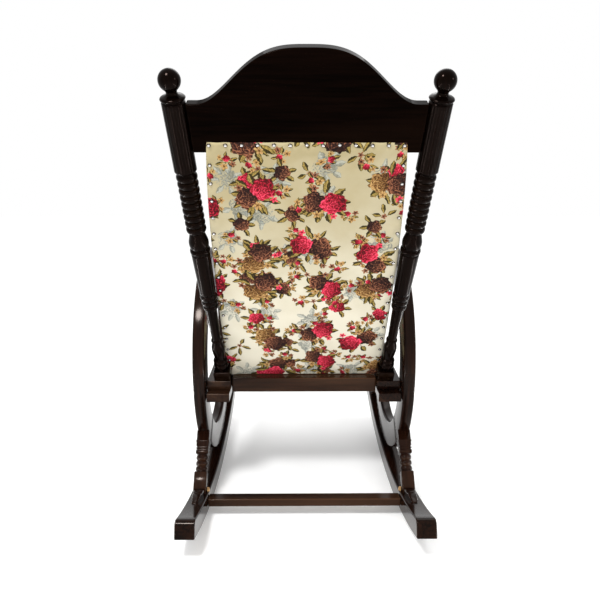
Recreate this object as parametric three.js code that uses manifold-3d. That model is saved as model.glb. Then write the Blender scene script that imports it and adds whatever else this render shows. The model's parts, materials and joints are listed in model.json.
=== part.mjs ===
// Rocking chair with round arm hoops, turned back posts, a bell-shaped crest and a padded back.
// Millimetres, +Z up. The sitter faces +Y, and +X is to the right of someone behind the chair.
// Inside the script Y = 0 is where the rockers touch the floor; the last lines centre the box.

import * as THREE from 'three';
import { mergeVertices } from 'three/addons/utils/BufferGeometryUtils.js';
import ManifoldModule from 'manifold-3d';

const solids = await ManifoldModule();
solids.setup();
const { Manifold, Mesh: SolidMesh } = solids;

// ---- driving dimensions ------------------------------------------------------------------

const GAP = 0.3; // between touching pieces
const RAD = Math.PI / 180;

const CHAIR_WIDTH = 600; // over the rockers
const ROCKER_WIDTH = 47;
const ROCKER_HEIGHT = 44;
const ROCKER_RADIUS = 1538; // of the underside
const ROCKER_REAR_END = -430;
const ROCKER_FRONT_END = 540;
const ROCKER_FACET = 2.4 * RAD; // one flat facet is centred under the chair
const ROCKER_NOSE = 14; // rounding of the upper corners at both ends
const ROCKER_X = (CHAIR_WIDTH - ROCKER_WIDTH) / 2;

const HOOP_OUTER_RADIUS = 308;
const HOOP_INNER_RADIUS = 234;
const HOOP_THICKNESS = 31;
const HOOP_INNER_FACE = 262; // from the chair's middle plane
const HOOP_Y = 137;
const HOOP_Z = 374;
const HOOP_SEGMENTS = 4;
const HOOP_STEPS = 14; // facets in one segment

const LEG_SIDE = 34;
const LEG_RAKE = 36.2 * RAD; // the rear legs lean back by this
const LEG_FOOT_Y = -190; // where the rear leg's axis meets the rocker
const LEG_FOOT_Z = 60;
const LEG_LOWER_BLOCK = 47; // ends of the turned part, measured up the axis
const LEG_UPPER_BLOCK = 92;
const LEG_BEADS = 3;
const LEG_BEAD_RADIUS = 16.5;
const LEG_BEAD_NECK = 12.5;
const FRONT_LEG_SWING = 10.7 * RAD; // about the rocker's centre, after mirroring the rear leg
const TOE_TIP_Y = -285;
const TOE_TIP_WIDTH = 15;
const WEDGE_LENGTH = 12;
const WEDGE_WIDTH = 6.4;

const STRETCHER_HEIGHT = 21;
const STRETCHER_DEPTH = 33;
const STRETCHER_Y = -209.5;
const STRETCHER_Z = 41.5;

const SEAT_TILT = 4 * RAD;
const SEAT_Y = -109; // rear upper edge of the seat's rear rail
const SEAT_Z = 344;
const SEAT_DEPTH = 530;
const REAR_RAIL_DEPTH = 45;
const RAIL_HEIGHT = 40;
const FRONT_RAIL_DEPTH = 28;
const SIDE_RAIL_INSIDE = 197.3;
const SIDE_RAIL_HEIGHT = 25;
const SIDE_RAIL_BACK = -22;
const CLEAT_HEIGHT = 24;
const CLEAT_BACK = -49;
const CLEAT_FRONT = 512;
const BOARD_THICKNESS = 9;
const BOARD_BACK = 80;
const BOARD_HALF_WIDTH = 232;
const CUSHION_THICKNESS = 62;
const CUSHION_HALF_WIDTH = 228;
const CUSHION_CORNER = 40;

const BACK_RECLINE = 30.7 * RAD;
const BACK_Y = -109; // foot of the posts
const BACK_Z = 348;
const POST_FOOT_X = 219;
const POST_TOP_X = 255.5;
const POST_HEIGHT = 806; // foot to the middle of the ball, along the back
const POST_PLINTH = 36;
const POST_STEPS = 14; // facets around a post
const BALL_RADIUS = 21.5;
const REED_RADIUS = 23.2;
const REED_BOTTOM = 622;
const REED_TOP = 766;
const BEAD_BOTTOM = 474;
const BEAD_COUNT = 9;
const BEAD_PITCH = 15.8;
const BEAD_RADIUS = 22.3;
const BEAD_NECK = 18.5;
const POST_PLINTH_SIDE = 43;

const CREST_THICKNESS = 25;
const CREST_BOTTOM = 666;
const CREST_SHOULDER = 764;
const CREST_TOP = 867;
const CREST_BELL_REACH = 210; // half width of the raised bell
const CREST_BELL_POWER = 1.55; // how flat its top is
const CREST_STEPS = 36;

const PAD_SLANT = 3.4 * RAD; // the upholstered panel leans forward at its foot
const PANEL_LENGTH = 682;
const PANEL_TOP_HALF = 198;
const PANEL_FOOT_HALF = 210.5;
const PANEL_WIDENING = 165; // the panel reaches its full width this far down
const PANEL_DROP = 4; // the panel's frame starts this far below the crest
const PANEL_LAP = 23; // the rear cover laps up over the crest by this
const STILE_WIDTH = 40;
const FRAME_INSET = 3; // the wood stays this far inside the upholstery's edge
const SLAT_WIDTH = 50;
const FRAME_THICKNESS = 20;
const BACKING_THICKNESS = 4;
const PAD_THICKNESS = 34;
const COVER_THICKNESS = 2;

const DOWEL_RADIUS = 5;
const DOWEL_LENGTH = 44;
const BOLT_RADIUS = 4;
const BOLT_HEAD_RADIUS = 9;
const BOLT_HEAD_HEIGHT = 4;
const BOLT_LENGTH = 60;
const SCREW_RADIUS = 3;
const SCREW_LENGTH = 85;
const ROUND_STEPS = 12; // facets around a dowel, bolt or screw

// ---- materials ---------------------------------------------------------------------------

const finishes = {
  wood: { color: 0x1d0f0b, roughness: 0.22, metalness: 0 },
  bareWood: { color: 0xb98a4e, roughness: 0.6, metalness: 0 },
  fabric: { color: 0xd8cfae, roughness: 0.9, metalness: 0 },
  steel: { color: 0xb9bcc0, roughness: 0.3, metalness: 1 },
};

function piece(name, geometry, finish) {
  geometry.computeVertexNormals();
  const mesh = new THREE.Mesh(geometry, new THREE.MeshStandardMaterial(finishes[finish]));
  mesh.name = name;
  return mesh;
}

// ---- solid helpers -----------------------------------------------------------------------

function toSolid(geometry) {
  const bare = new THREE.BufferGeometry();
  const open = geometry.index ? geometry.toNonIndexed() : geometry;
  bare.setAttribute('position', open.getAttribute('position').clone());
  const welded = mergeVertices(bare, 1e-3);
  const corners = welded.index.array;
  const triangles = [];
  for (let i = 0; i < corners.length; i += 3) {
    const [a, b, c] = [corners[i], corners[i + 1], corners[i + 2]];
    if (a !== b && b !== c && a !== c) triangles.push(a, b, c);
  }
  const points = Float32Array.from(welded.getAttribute('position').array);
  const faces = Uint32Array.from(triangles);
  return new Manifold(new SolidMesh({ numProp: 3, vertProperties: points, triVerts: faces }));
}

function toGeometry(solid) {
  const mesh = solid.getMesh();
  const geometry = new THREE.BufferGeometry();
  geometry.setAttribute('position', new THREE.BufferAttribute(mesh.vertProperties, 3));
  geometry.setIndex(new THREE.BufferAttribute(mesh.triVerts, 1));
  return geometry;
}

// Round bars, used both as fasteners and as the tools that drill for them.
function barAlongX(radius, length, x, y, z) {
  const bar = new THREE.CylinderGeometry(radius, radius, length, ROUND_STEPS);
  return bar.rotateZ(Math.PI / 2).translate(x, y, z);
}

function drilled(geometry, tools) {
  let solid = toSolid(geometry);
  for (const tool of tools) solid = solid.subtract(toSolid(tool));
  return toGeometry(solid);
}

function boxBetween(low, high) {
  const size = high.map((value, i) => value - low[i]);
  const middle = high.map((value, i) => (value + low[i]) / 2);
  return new THREE.BoxGeometry(...size).translate(...middle);
}

// A side view, drawn as (y, z), made solid across X and centred on X = 0.
function acrossX(shape, width) {
  const slab = new THREE.ExtrudeGeometry(shape, { depth: width, bevelEnabled: false });
  const y = new THREE.Vector3(0, 1, 0);
  const z = new THREE.Vector3(0, 0, 1);
  const x = new THREE.Vector3(1, 0, 0);
  return slab.translate(0, 0, -width / 2).applyMatrix4(new THREE.Matrix4().makeBasis(y, z, x));
}

// A front view, drawn as (x, z), made solid from the plane Y = near to Y = far.
function alongY(shape, near, far) {
  const depth = far - near;
  const slab = new THREE.ExtrudeGeometry(shape, { depth, bevelEnabled: false, curveSegments: 8 });
  return slab.rotateX(Math.PI / 2).translate(0, far, 0);
}

function shapeOf(points) {
  return new THREE.Shape(points.map(([u, v]) => new THREE.Vector2(u, v)));
}

// ---- rockers, stretcher and legs ---------------------------------------------------------

// A point on a circle about the rocker's centre, at an angle from straight down.
function underCentre(radius, angle) {
  return [radius * Math.sin(angle), ROCKER_RADIUS - radius * Math.cos(angle)];
}

function rockerTopZ(y) {
  return ROCKER_RADIUS - Math.sqrt((ROCKER_RADIUS - ROCKER_HEIGHT) ** 2 - y ** 2);
}

// Corners of flat facets that touch the circle of this radius at their middles.
function facetedArc(radius, from, to) {
  const first = Math.ceil(from / ROCKER_FACET - 0.5);
  const last = Math.floor(to / ROCKER_FACET - 0.5);
  const angles = [from];
  for (let i = first; i <= last; i++) angles.push((i + 0.5) * ROCKER_FACET);
  angles.push(to);
  return angles.map((angle) => underCentre(radius / Math.cos(ROCKER_FACET / 2), angle));
}

function rockerProfile() {
  const topRadius = ROCKER_RADIUS - ROCKER_HEIGHT;
  const rear = Math.asin(ROCKER_REAR_END / ROCKER_RADIUS);
  const front = Math.asin(ROCKER_FRONT_END / ROCKER_RADIUS);
  const nose = ROCKER_NOSE / topRadius;
  const roundCorner = (end, inward) => [0, 30, 60].map((turn) => underCentre(
    topRadius + ROCKER_NOSE * (1 - Math.sin(turn * RAD)),
    end + inward * nose * (1 - Math.cos(turn * RAD))));
  return shapeOf([
    ...facetedArc(ROCKER_RADIUS, rear, front),
    ...roundCorner(front, -1),
    ...facetedArc(topRadius, rear + nose, front - nose).reverse(),
    ...roundCorner(rear, 1).reverse(),
  ]);
}

function rocker() {
  const hole = barAlongX(SCREW_RADIUS + GAP, 2 * ROCKER_WIDTH, 0, STRETCHER_Y, STRETCHER_Z);
  return drilled(acrossX(rockerProfile(), ROCKER_WIDTH), [hole]);
}

// The stretcher's screws start inside the rockers, under a plug of filler.
const SCREW_X = CHAIR_WIDTH / 2 - 4 - SCREW_LENGTH / 2;

function stretcher() {
  const length = CHAIR_WIDTH - 2 * (ROCKER_WIDTH + GAP);
  const bar = new THREE.BoxGeometry(length, STRETCHER_DEPTH, STRETCHER_HEIGHT);
  const hole = (side) => barAlongX(SCREW_RADIUS + GAP, SCREW_LENGTH + 2 * GAP, side * SCREW_X, 0, 0);
  return drilled(bar, [hole(-1), hole(1)]);
}

function beadedNeck() {
  const length = LEG_UPPER_BLOCK - LEG_LOWER_BLOCK;
  const pitch = length / LEG_BEADS;
  const outline = [[0, -1], [LEG_BEAD_NECK, -1]];
  for (let bead = 0; bead < LEG_BEADS; bead++) {
    for (const turn of [0.15, 0.5, 0.85]) {
      const swell = Math.sin(turn * Math.PI);
      outline.push([LEG_BEAD_NECK + (LEG_BEAD_RADIUS - LEG_BEAD_NECK) * swell, (bead + turn) * pitch]);
    }
    outline.push([LEG_BEAD_NECK, (bead + 1) * pitch]);
  }
  outline.push([LEG_BEAD_NECK, length + 1], [0, length + 1]);
  const neck = new THREE.LatheGeometry(outline.map(([r, z]) => new THREE.Vector2(r, z)), 16);
  return neck.rotateX(Math.PI / 2).translate(0, 0, LEG_LOWER_BLOCK);
}

// The toe lies rearwards on the rocker and narrows to a blunt tip.
function toe() {
  const start = LEG_FOOT_Y - 4;
  const side = shapeOf([
    [start + 20, 20], [start + 20, 82], [start - 6, 78],
    [TOE_TIP_Y + 26, 80], [TOE_TIP_Y, 70], [TOE_TIP_Y, 20],
  ]);
  const half = LEG_SIDE / 2 - 1;
  const tip = TOE_TIP_WIDTH / 2;
  const plan = new THREE.ExtrudeGeometry(
    shapeOf([[-half, start + 20], [-tip, TOE_TIP_Y], [tip, TOE_TIP_Y], [half, start + 20]]),
    { depth: 120, bevelEnabled: false });
  return toSolid(acrossX(side, LEG_SIDE)).intersect(toSolid(plan));
}

// The leg is trimmed to the rocker's top below and to the hoop above. A front leg is the rear
// leg mirrored and swung forward about the rocker's centre, without its toe.
function leg(isFront) {
  const half = LEG_SIDE / 2;
  const lower = boxBetween([-half, -half, -40], [half, half, LEG_LOWER_BLOCK]);
  const upper = boxBetween([-half, -half, LEG_UPPER_BLOCK], [half, half, LEG_UPPER_BLOCK + 90]);
  let solid = toSolid(lower).add(toSolid(beadedNeck())).add(toSolid(upper));
  solid = solid.rotate([-LEG_RAKE / RAD, 0, 0]).translate([0, LEG_FOOT_Y, LEG_FOOT_Z]);
  if (isFront) {
    solid = solid.mirror([0, 1, 0]).translate([0, 0, -ROCKER_RADIUS]);
    solid = solid.rotate([FRONT_LEG_SWING / RAD, 0, 0]).translate([0, 0, ROCKER_RADIUS]);
  } else {
    solid = solid.add(toe());
  }
  const rockerTop = ROCKER_RADIUS - ROCKER_HEIGHT - GAP;
  const aboveRocker = new THREE.CylinderGeometry(rockerTop, rockerTop, 200, 720);
  const hoopEdge = HOOP_OUTER_RADIUS + GAP;
  const hoop = new THREE.CylinderGeometry(hoopEdge, hoopEdge, 200, 180);
  aboveRocker.rotateZ(Math.PI / 2).translate(0, 0, ROCKER_RADIUS);
  hoop.rotateZ(Math.PI / 2).translate(0, HOOP_Y, HOOP_Z);
  return toGeometry(solid.intersect(toSolid(aboveRocker)).subtract(toSolid(hoop)));
}

// A small glue block in the corner between a rear leg's inner face and the rocker's top.
function wedge() {
  return acrossX(shapeOf([[0, 0], [WEDGE_LENGTH, 0], [0, WEDGE_LENGTH]]), WEDGE_WIDTH);
}

// ---- arm hoops ---------------------------------------------------------------------------

const HOOP_BOLTS = { rear: { y: -112, z: 331 }, front: { y: 398, z: 366 } };

function hoopSegment(index) {
  const span = (2 * Math.PI) / HOOP_SEGMENTS;
  const slit = GAP / 2 / HOOP_INNER_RADIUS;
  const from = (index - 0.5) * span + slit;
  const to = (index + 0.5) * span - slit;
  const arc = (radius) => Array.from({ length: HOOP_STEPS + 1 }, (_, i) => {
    const angle = from + ((to - from) * i) / HOOP_STEPS;
    return [radius * Math.cos(angle), radius * Math.sin(angle)];
  });
  const outline = [...arc(HOOP_OUTER_RADIUS), ...arc(HOOP_INNER_RADIUS).reverse()];
  const ring = acrossX(shapeOf(outline), HOOP_THICKNESS);
  const bolt = { 0: HOOP_BOLTS.front, 2: HOOP_BOLTS.rear }[index];
  if (!bolt) return ring;
  const hole = barAlongX(BOLT_RADIUS + GAP, 2 * HOOP_THICKNESS, 0, bolt.y - HOOP_Y, bolt.z - HOOP_Z);
  return drilled(ring, [hole]);
}

// A coach bolt along X: shank towards the chair's middle, low domed head outside the hoop.
function hoopBolt(side) {
  const outline = [
    [0, 0], [BOLT_RADIUS, 0], [BOLT_RADIUS, BOLT_LENGTH], [BOLT_HEAD_RADIUS, BOLT_LENGTH],
    [BOLT_HEAD_RADIUS * 0.8, BOLT_LENGTH + BOLT_HEAD_HEIGHT * 0.7], [0, BOLT_LENGTH + BOLT_HEAD_HEIGHT],
  ];
  const bolt = new THREE.LatheGeometry(outline.map(([r, z]) => new THREE.Vector2(r, z)), ROUND_STEPS);
  return bolt.rotateZ((-side * Math.PI) / 2);
}

// ---- seat (drawn from the rear rail's upper rear edge, before the tilt) --------------------

const RAIL_DOWELS = { rear: { y: 24, z: -14 }, front: { y: 516, z: -12 } };
const POST_BOLT = { x: 221, y: 8, reach: 48 };

function seatPoint(y, z) {
  const point = new THREE.Vector3(0, y - SEAT_Y, z - SEAT_Z);
  return point.applyAxisAngle(new THREE.Vector3(1, 0, 0), -SEAT_TILT);
}

function crossRail(near, far, dowel) {
  const half = SIDE_RAIL_INSIDE - GAP;
  const rail = boxBetween([-half, near, -RAIL_HEIGHT], [half, far, 0]);
  return drilled(rail, [...railDowelHoles(-1, [dowel]), ...railDowelHoles(1, [dowel])]);
}

function postBoltTool(side) {
  const radius = BOLT_RADIUS + GAP;
  const bolt = new THREE.CylinderGeometry(radius, radius, 2 * (POST_BOLT.reach + GAP), ROUND_STEPS);
  return bolt.rotateX(Math.PI / 2).translate(side * POST_BOLT.x, POST_BOLT.y, 0);
}

function railDowelHoles(side, dowels) {
  return dowels.map(({ y, z }) =>
    barAlongX(DOWEL_RADIUS + GAP, DOWEL_LENGTH + 2 * GAP, side * SIDE_RAIL_INSIDE, y, z));
}

function sideRail(side) {
  const middle = (SIDE_RAIL_INSIDE + HOOP_INNER_FACE - GAP) / 2;
  const half = middle - SIDE_RAIL_INSIDE;
  const rail = boxBetween([-half, SIDE_RAIL_BACK, -SIDE_RAIL_HEIGHT], [half, SEAT_DEPTH, 0]);
  const holes = [postBoltTool(side), ...railDowelHoles(side, Object.values(RAIL_DOWELS))];
  for (const bolt of Object.values(HOOP_BOLTS)) {
    const at = seatPoint(bolt.y, bolt.z);
    const length = 2 * (BOLT_LENGTH - HOOP_THICKNESS + GAP);
    holes.push(barAlongX(BOLT_RADIUS + GAP, length, side * HOOP_INNER_FACE, at.y, at.z));
  }
  return drilled(rail.translate(side * middle, 0, 0), holes);
}

function seatCleat(side) {
  const top = -SIDE_RAIL_HEIGHT - GAP;
  const cleat = boxBetween(
    [-(HOOP_INNER_FACE - SIDE_RAIL_INSIDE) / 2 + 2, CLEAT_BACK, top - CLEAT_HEIGHT],
    [(HOOP_INNER_FACE - SIDE_RAIL_INSIDE) / 2 - 2, CLEAT_FRONT, top]);
  cleat.translate((side * (HOOP_INNER_FACE + SIDE_RAIL_INSIDE)) / 2, 0, 0);
  return drilled(cleat, [postBoltTool(side).translate(0, 0, -POST_BOLT.reach / 2)]);
}

// A coach bolt up through the cleat and the side rail into a post.
function postBolt(side) {
  const under = -SIDE_RAIL_HEIGHT - CLEAT_HEIGHT - 2 * GAP;
  const outline = [
    [0, under - BOLT_HEAD_HEIGHT], [BOLT_HEAD_RADIUS * 0.8, under - BOLT_HEAD_HEIGHT * 0.7],
    [BOLT_HEAD_RADIUS, under], [BOLT_RADIUS, under], [BOLT_RADIUS, POST_BOLT.reach], [0, POST_BOLT.reach],
  ];
  const bolt = new THREE.LatheGeometry(outline.map(([r, z]) => new THREE.Vector2(r, z)), ROUND_STEPS);
  return bolt.rotateX(Math.PI / 2).translate(side * POST_BOLT.x, POST_BOLT.y, 0);
}

function seatBoard() {
  return boxBetween([-BOARD_HALF_WIDTH, BOARD_BACK, GAP], [BOARD_HALF_WIDTH, SEAT_DEPTH, BOARD_THICKNESS]);
}

function seatCushion() {
  const half = CUSHION_HALF_WIDTH;
  const [back, front, corner] = [BOARD_BACK + 4, SEAT_DEPTH - 2, CUSHION_CORNER];
  const outline = new THREE.Shape();
  outline.moveTo(-half + corner, back);
  outline.lineTo(half - corner, back);
  outline.absarc(half - corner, back + corner, corner, -Math.PI / 2, 0, false);
  outline.absarc(half - corner, front - corner, corner, 0, Math.PI / 2, false);
  outline.absarc(-half + corner, front - corner, corner, Math.PI / 2, Math.PI, false);
  outline.absarc(-half + corner, back + corner, corner, Math.PI, 1.5 * Math.PI, false);
  const settings = { depth: CUSHION_THICKNESS, bevelEnabled: false, curveSegments: 4 };
  const cushion = new THREE.ExtrudeGeometry(outline, settings);
  return cushion.translate(0, 0, BOARD_THICKNESS + GAP);
}

// ---- posts and crest (drawn from the posts' foot, before the recline) ----------------------

function postAxisX(height) {
  return POST_FOOT_X + ((POST_TOP_X - POST_FOOT_X) * height) / POST_HEIGHT;
}

// Radius of the turning at each height, from the plinth up to the neck below the ball.
function turnedOutline() {
  const outline = [
    [POST_PLINTH - 1, 17], [45, 17], [50, 19.5], [57, 19.5], [60, 17], [63, 18.5], [69, 18.5], [73, 13.5],
    [80, 14], [100, 16], [118, 16.5], [130, 13], [135, 12], [137, 14.5], [142, 14.5], [145, 11.5],
    [249, 14.5], [253, 18.5], [261, 18.5], [264, 16.5], [268, 19.5], [277, 19.5], [280, 17.5],
    [284, 20.5], [294, 20.5], [298, 19.6], [417, 22], [420, 23], [427, 23], [430, 20],
    [437, 22], [448, 22.2], [460, 19.5], [469, 16], [BEAD_BOTTOM - 2, 16],
  ];
  for (let bead = 0; bead < BEAD_COUNT; bead++) {
    const start = BEAD_BOTTOM + bead * BEAD_PITCH;
    const swell = [start + BEAD_PITCH * 0.3, start + BEAD_PITCH * 0.7];
    outline.push([start, BEAD_NECK], [swell[0], BEAD_RADIUS], [swell[1], BEAD_RADIUS]);
  }
  outline.push([BEAD_BOTTOM + BEAD_COUNT * BEAD_PITCH, BEAD_NECK], [REED_BOTTOM - 1, BEAD_NECK]);
  outline.push([REED_BOTTOM, REED_RADIUS], [REED_TOP, REED_RADIUS]);
  const cap = [[2, 19], [4, 23.5], [8, 24.5], [12, 18], [16, 11]];
  outline.push(...cap.map(([rise, radius]) => [REED_TOP + rise, radius]));
  return outline;
}

function ballOutline() {
  const points = [];
  for (let turn = -60; turn < 90; turn += 15) {
    points.push([POST_HEIGHT + BALL_RADIUS * Math.sin(turn * RAD), BALL_RADIUS * Math.cos(turn * RAD)]);
  }
  return points;
}

function backPost(side, dowels, seatTools) {
  const outline = [...turnedOutline(), ...ballOutline()];
  const closed = [[outline[0][0], 0], ...outline, [POST_HEIGHT + BALL_RADIUS, 0]];
  const turned = new THREE.LatheGeometry(closed.map(([s, r]) => new THREE.Vector2(r, s)), POST_STEPS);
  const half = POST_PLINTH_SIDE / 2;
  const splay = Math.atan((POST_TOP_X - POST_FOOT_X) / POST_HEIGHT) / RAD;
  let solid = toSolid(turned.rotateX(Math.PI / 2));
  solid = solid.add(toSolid(boxBetween([-half, -half, -40], [half, half, POST_PLINTH])));
  solid = solid.rotate([0, side * splay, 0]).translate([side * POST_FOOT_X, 0, 0]);
  const lean = BACK_RECLINE - SEAT_TILT;
  const seatTop = (SEAT_Z - BACK_Z) * Math.cos(SEAT_TILT) + GAP;
  solid = solid.trimByPlane([0, Math.sin(lean), Math.cos(lean)], seatTop);
  for (const tool of [...dowels, ...seatTools]) solid = solid.subtract(toSolid(tool));
  return toGeometry(solid);
}

const CREST_DOWELS = [690, 745];

function crestDowel(side, height, radius, length) {
  return barAlongX(radius, length, side * crestEnd(height), 0, height);
}

function crestEnd(height) {
  return postAxisX(height) - REED_RADIUS - GAP;
}

function crestRail() {
  const outline = [[crestEnd(CREST_BOTTOM), CREST_BOTTOM], [crestEnd(CREST_SHOULDER), CREST_SHOULDER]];
  for (let i = 0; i <= CREST_STEPS; i++) {
    const x = CREST_BELL_REACH * (1 - (2 * i) / CREST_STEPS);
    const fall = (Math.PI / 2) * Math.pow(Math.abs(x) / CREST_BELL_REACH, CREST_BELL_POWER);
    outline.push([x, CREST_SHOULDER + (CREST_TOP - CREST_SHOULDER) * Math.cos(fall) ** 2]);
  }
  outline.push([-crestEnd(CREST_SHOULDER), CREST_SHOULDER], [-crestEnd(CREST_BOTTOM), CREST_BOTTOM]);
  const holes = [-1, 1].flatMap((side) => CREST_DOWELS.map((height) =>
    crestDowel(side, height, DOWEL_RADIUS + GAP, DOWEL_LENGTH + 2 * GAP)));
  return drilled(alongY(shapeOf(outline), -CREST_THICKNESS / 2, CREST_THICKNESS / 2), holes);
}

// ---- upholstered panel (drawn down from the crest's lower edge, before the slant) -----------

function panelHalf(z) {
  return PANEL_TOP_HALF + (PANEL_FOOT_HALF - PANEL_TOP_HALF) * Math.min(1, -z / PANEL_WIDENING);
}

// One side of the panel from its foot to its top, as (x, z), a little inside the panel's edge.
function panelEdge(inset, top, bottom) {
  const heights = [bottom, -PANEL_WIDENING, top].filter((z) => z >= bottom && z <= top);
  return [...new Set(heights)].map((z) => [panelHalf(z) - inset, z]);
}

function panelSheet(inset, top, bottom, near, far) {
  const right = panelEdge(inset, top, bottom);
  const left = right.map(([x, z]) => [-x, z]).reverse();
  return alongY(shapeOf([...right, ...left]), near, far);
}

function backStile(side) {
  const outer = panelEdge(FRAME_INSET, -PANEL_DROP, -PANEL_LENGTH);
  const inner = panelEdge(FRAME_INSET + STILE_WIDTH, -PANEL_DROP, -PANEL_LENGTH).reverse();
  const corners = [...outer, ...inner].map(([x, z]) => [side * x, z]);
  return alongY(shapeOf(side > 0 ? corners : corners.reverse()), 0, FRAME_THICKNESS);
}

function backSlat(top, bottom) {
  return panelSheet(STILE_WIDTH + FRAME_INSET + GAP, top, bottom, 0, FRAME_THICKNESS);
}

// ---- assembly ----------------------------------------------------------------------------

function frame(x, y, z, tilt) {
  const group = new THREE.Group();
  group.position.set(x, y, z);
  group.rotation.x = tilt;
  group.updateMatrix();
  return group;
}

function placed(mesh, x, y, z) {
  mesh.position.set(x, y, z);
  return mesh;
}

const chair = new THREE.Group();
const seat = frame(0, SEAT_Y, SEAT_Z, SEAT_TILT);
const back = frame(0, BACK_Y, BACK_Z, BACK_RECLINE);
const panel = frame(0, -CREST_THICKNESS / 2, CREST_BOTTOM, PAD_SLANT);
const seatToBack = back.matrix.clone().invert().multiply(seat.matrix);

const hoopMiddle = HOOP_INNER_FACE + HOOP_THICKNESS / 2;
const hoopParts = ['front', 'top', 'rear', 'bottom'];

for (const [word, side] of [['left', -1], ['right', 1]]) {
  chair.add(placed(piece(`rocker_${word}`, rocker(), 'wood'), side * ROCKER_X, 0, 0));
  chair.add(placed(piece(`rear_leg_${word}`, leg(false), 'wood'), side * hoopMiddle, 0, 0));
  chair.add(placed(piece(`front_leg_${word}`, leg(true), 'wood'), side * hoopMiddle, 0, 0));
  const block = piece(`leg_wedge_${word}`, wedge(), 'bareWood');
  const blockX = CHAIR_WIDTH / 2 - ROCKER_WIDTH + WEDGE_WIDTH / 2;
  block.rotation.x = Math.asin(LEG_FOOT_Y / ROCKER_RADIUS);
  chair.add(placed(block, side * blockX, LEG_FOOT_Y, rockerTopZ(LEG_FOOT_Y) + 2 * GAP));
  const screw = barAlongX(SCREW_RADIUS, SCREW_LENGTH, side * SCREW_X, STRETCHER_Y, STRETCHER_Z);
  chair.add(piece(`stretcher_screw_${word}`, screw, 'steel'));

  hoopParts.forEach((part, index) => {
    const segment = piece(`arm_hoop_${part}_${word}`, hoopSegment(index), 'wood');
    chair.add(placed(segment, side * hoopMiddle, HOOP_Y, HOOP_Z));
  });
  for (const [end, bolt] of Object.entries(HOOP_BOLTS)) {
    const head = HOOP_INNER_FACE + HOOP_THICKNESS + GAP;
    const mesh = piece(`hoop_bolt_${end}_${word}`, hoopBolt(side), 'steel');
    chair.add(placed(mesh, side * (head - BOLT_LENGTH), bolt.y, bolt.z));
  }

  seat.add(piece(`seat_side_rail_${word}`, sideRail(side), 'wood'));
  seat.add(piece(`seat_cleat_${word}`, seatCleat(side), 'wood'));
  seat.add(piece(`post_bolt_${word}`, postBolt(side), 'steel'));
  for (const [end, dowel] of Object.entries(RAIL_DOWELS)) {
    const bar = barAlongX(DOWEL_RADIUS, DOWEL_LENGTH, side * SIDE_RAIL_INSIDE, dowel.y, dowel.z);
    seat.add(piece(`rail_dowel_${end}_${word}`, bar, 'bareWood'));
  }

  const dowelHoles = CREST_DOWELS.map((height) =>
    crestDowel(side, height, DOWEL_RADIUS + GAP, DOWEL_LENGTH + 2 * GAP));
  const boltHole = postBoltTool(side).applyMatrix4(seatToBack);
  back.add(piece(`back_post_${word}`, backPost(side, dowelHoles, [boltHole]), 'wood'));
  CREST_DOWELS.forEach((height, i) => {
    const bar = crestDowel(side, height, DOWEL_RADIUS, DOWEL_LENGTH);
    back.add(piece(`crest_dowel_${['lower', 'upper'][i]}_${word}`, bar, 'bareWood'));
  });
  panel.add(piece(`back_stile_${word}`, backStile(side), 'wood'));
}

chair.add(placed(piece('rear_stretcher', stretcher(), 'wood'), 0, STRETCHER_Y, STRETCHER_Z));
seat.add(piece('seat_rear_rail', crossRail(0, REAR_RAIL_DEPTH, RAIL_DOWELS.rear), 'wood'));
const frontRail = crossRail(SEAT_DEPTH - FRONT_RAIL_DEPTH, SEAT_DEPTH, RAIL_DOWELS.front);
seat.add(piece('seat_front_rail', frontRail, 'wood'));
seat.add(piece('seat_board', seatBoard(), 'wood'));
seat.add(piece('seat_cushion', seatCushion(), 'fabric'));
back.add(piece('crest_rail', crestRail(), 'wood'));
panel.add(piece('back_top_slat', backSlat(-PANEL_DROP, -PANEL_DROP - SLAT_WIDTH), 'wood'));
panel.add(piece('back_foot_slat', backSlat(-PANEL_LENGTH + SLAT_WIDTH, -PANEL_LENGTH), 'wood'));

const backing = FRAME_THICKNESS + GAP;
const stuffing = backing + BACKING_THICKNESS + GAP;
const sheet = (inset, top, near, thickness) => panelSheet(inset, top, -PANEL_LENGTH, near, near + thickness);
const board = sheet(FRAME_INSET, -PANEL_DROP, backing, BACKING_THICKNESS);
panel.add(piece('back_backing', board, 'bareWood'));
panel.add(piece('back_pad', sheet(0, -PANEL_DROP, stuffing, PAD_THICKNESS), 'fabric'));
panel.add(piece('back_rear_cover', sheet(0, PANEL_LAP, -COVER_THICKNESS - GAP, COVER_THICKNESS), 'fabric'));

back.add(panel);
chair.add(seat, back);
chair.updateMatrixWorld(true);
const extent = new THREE.Box3().setFromObject(chair, true);
chair.position.y = -(extent.min.y + extent.max.y) / 2;

export default chair;
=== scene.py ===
import json
import math
import random

import bpy
from mathutils import Matrix, Vector, noise


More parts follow.
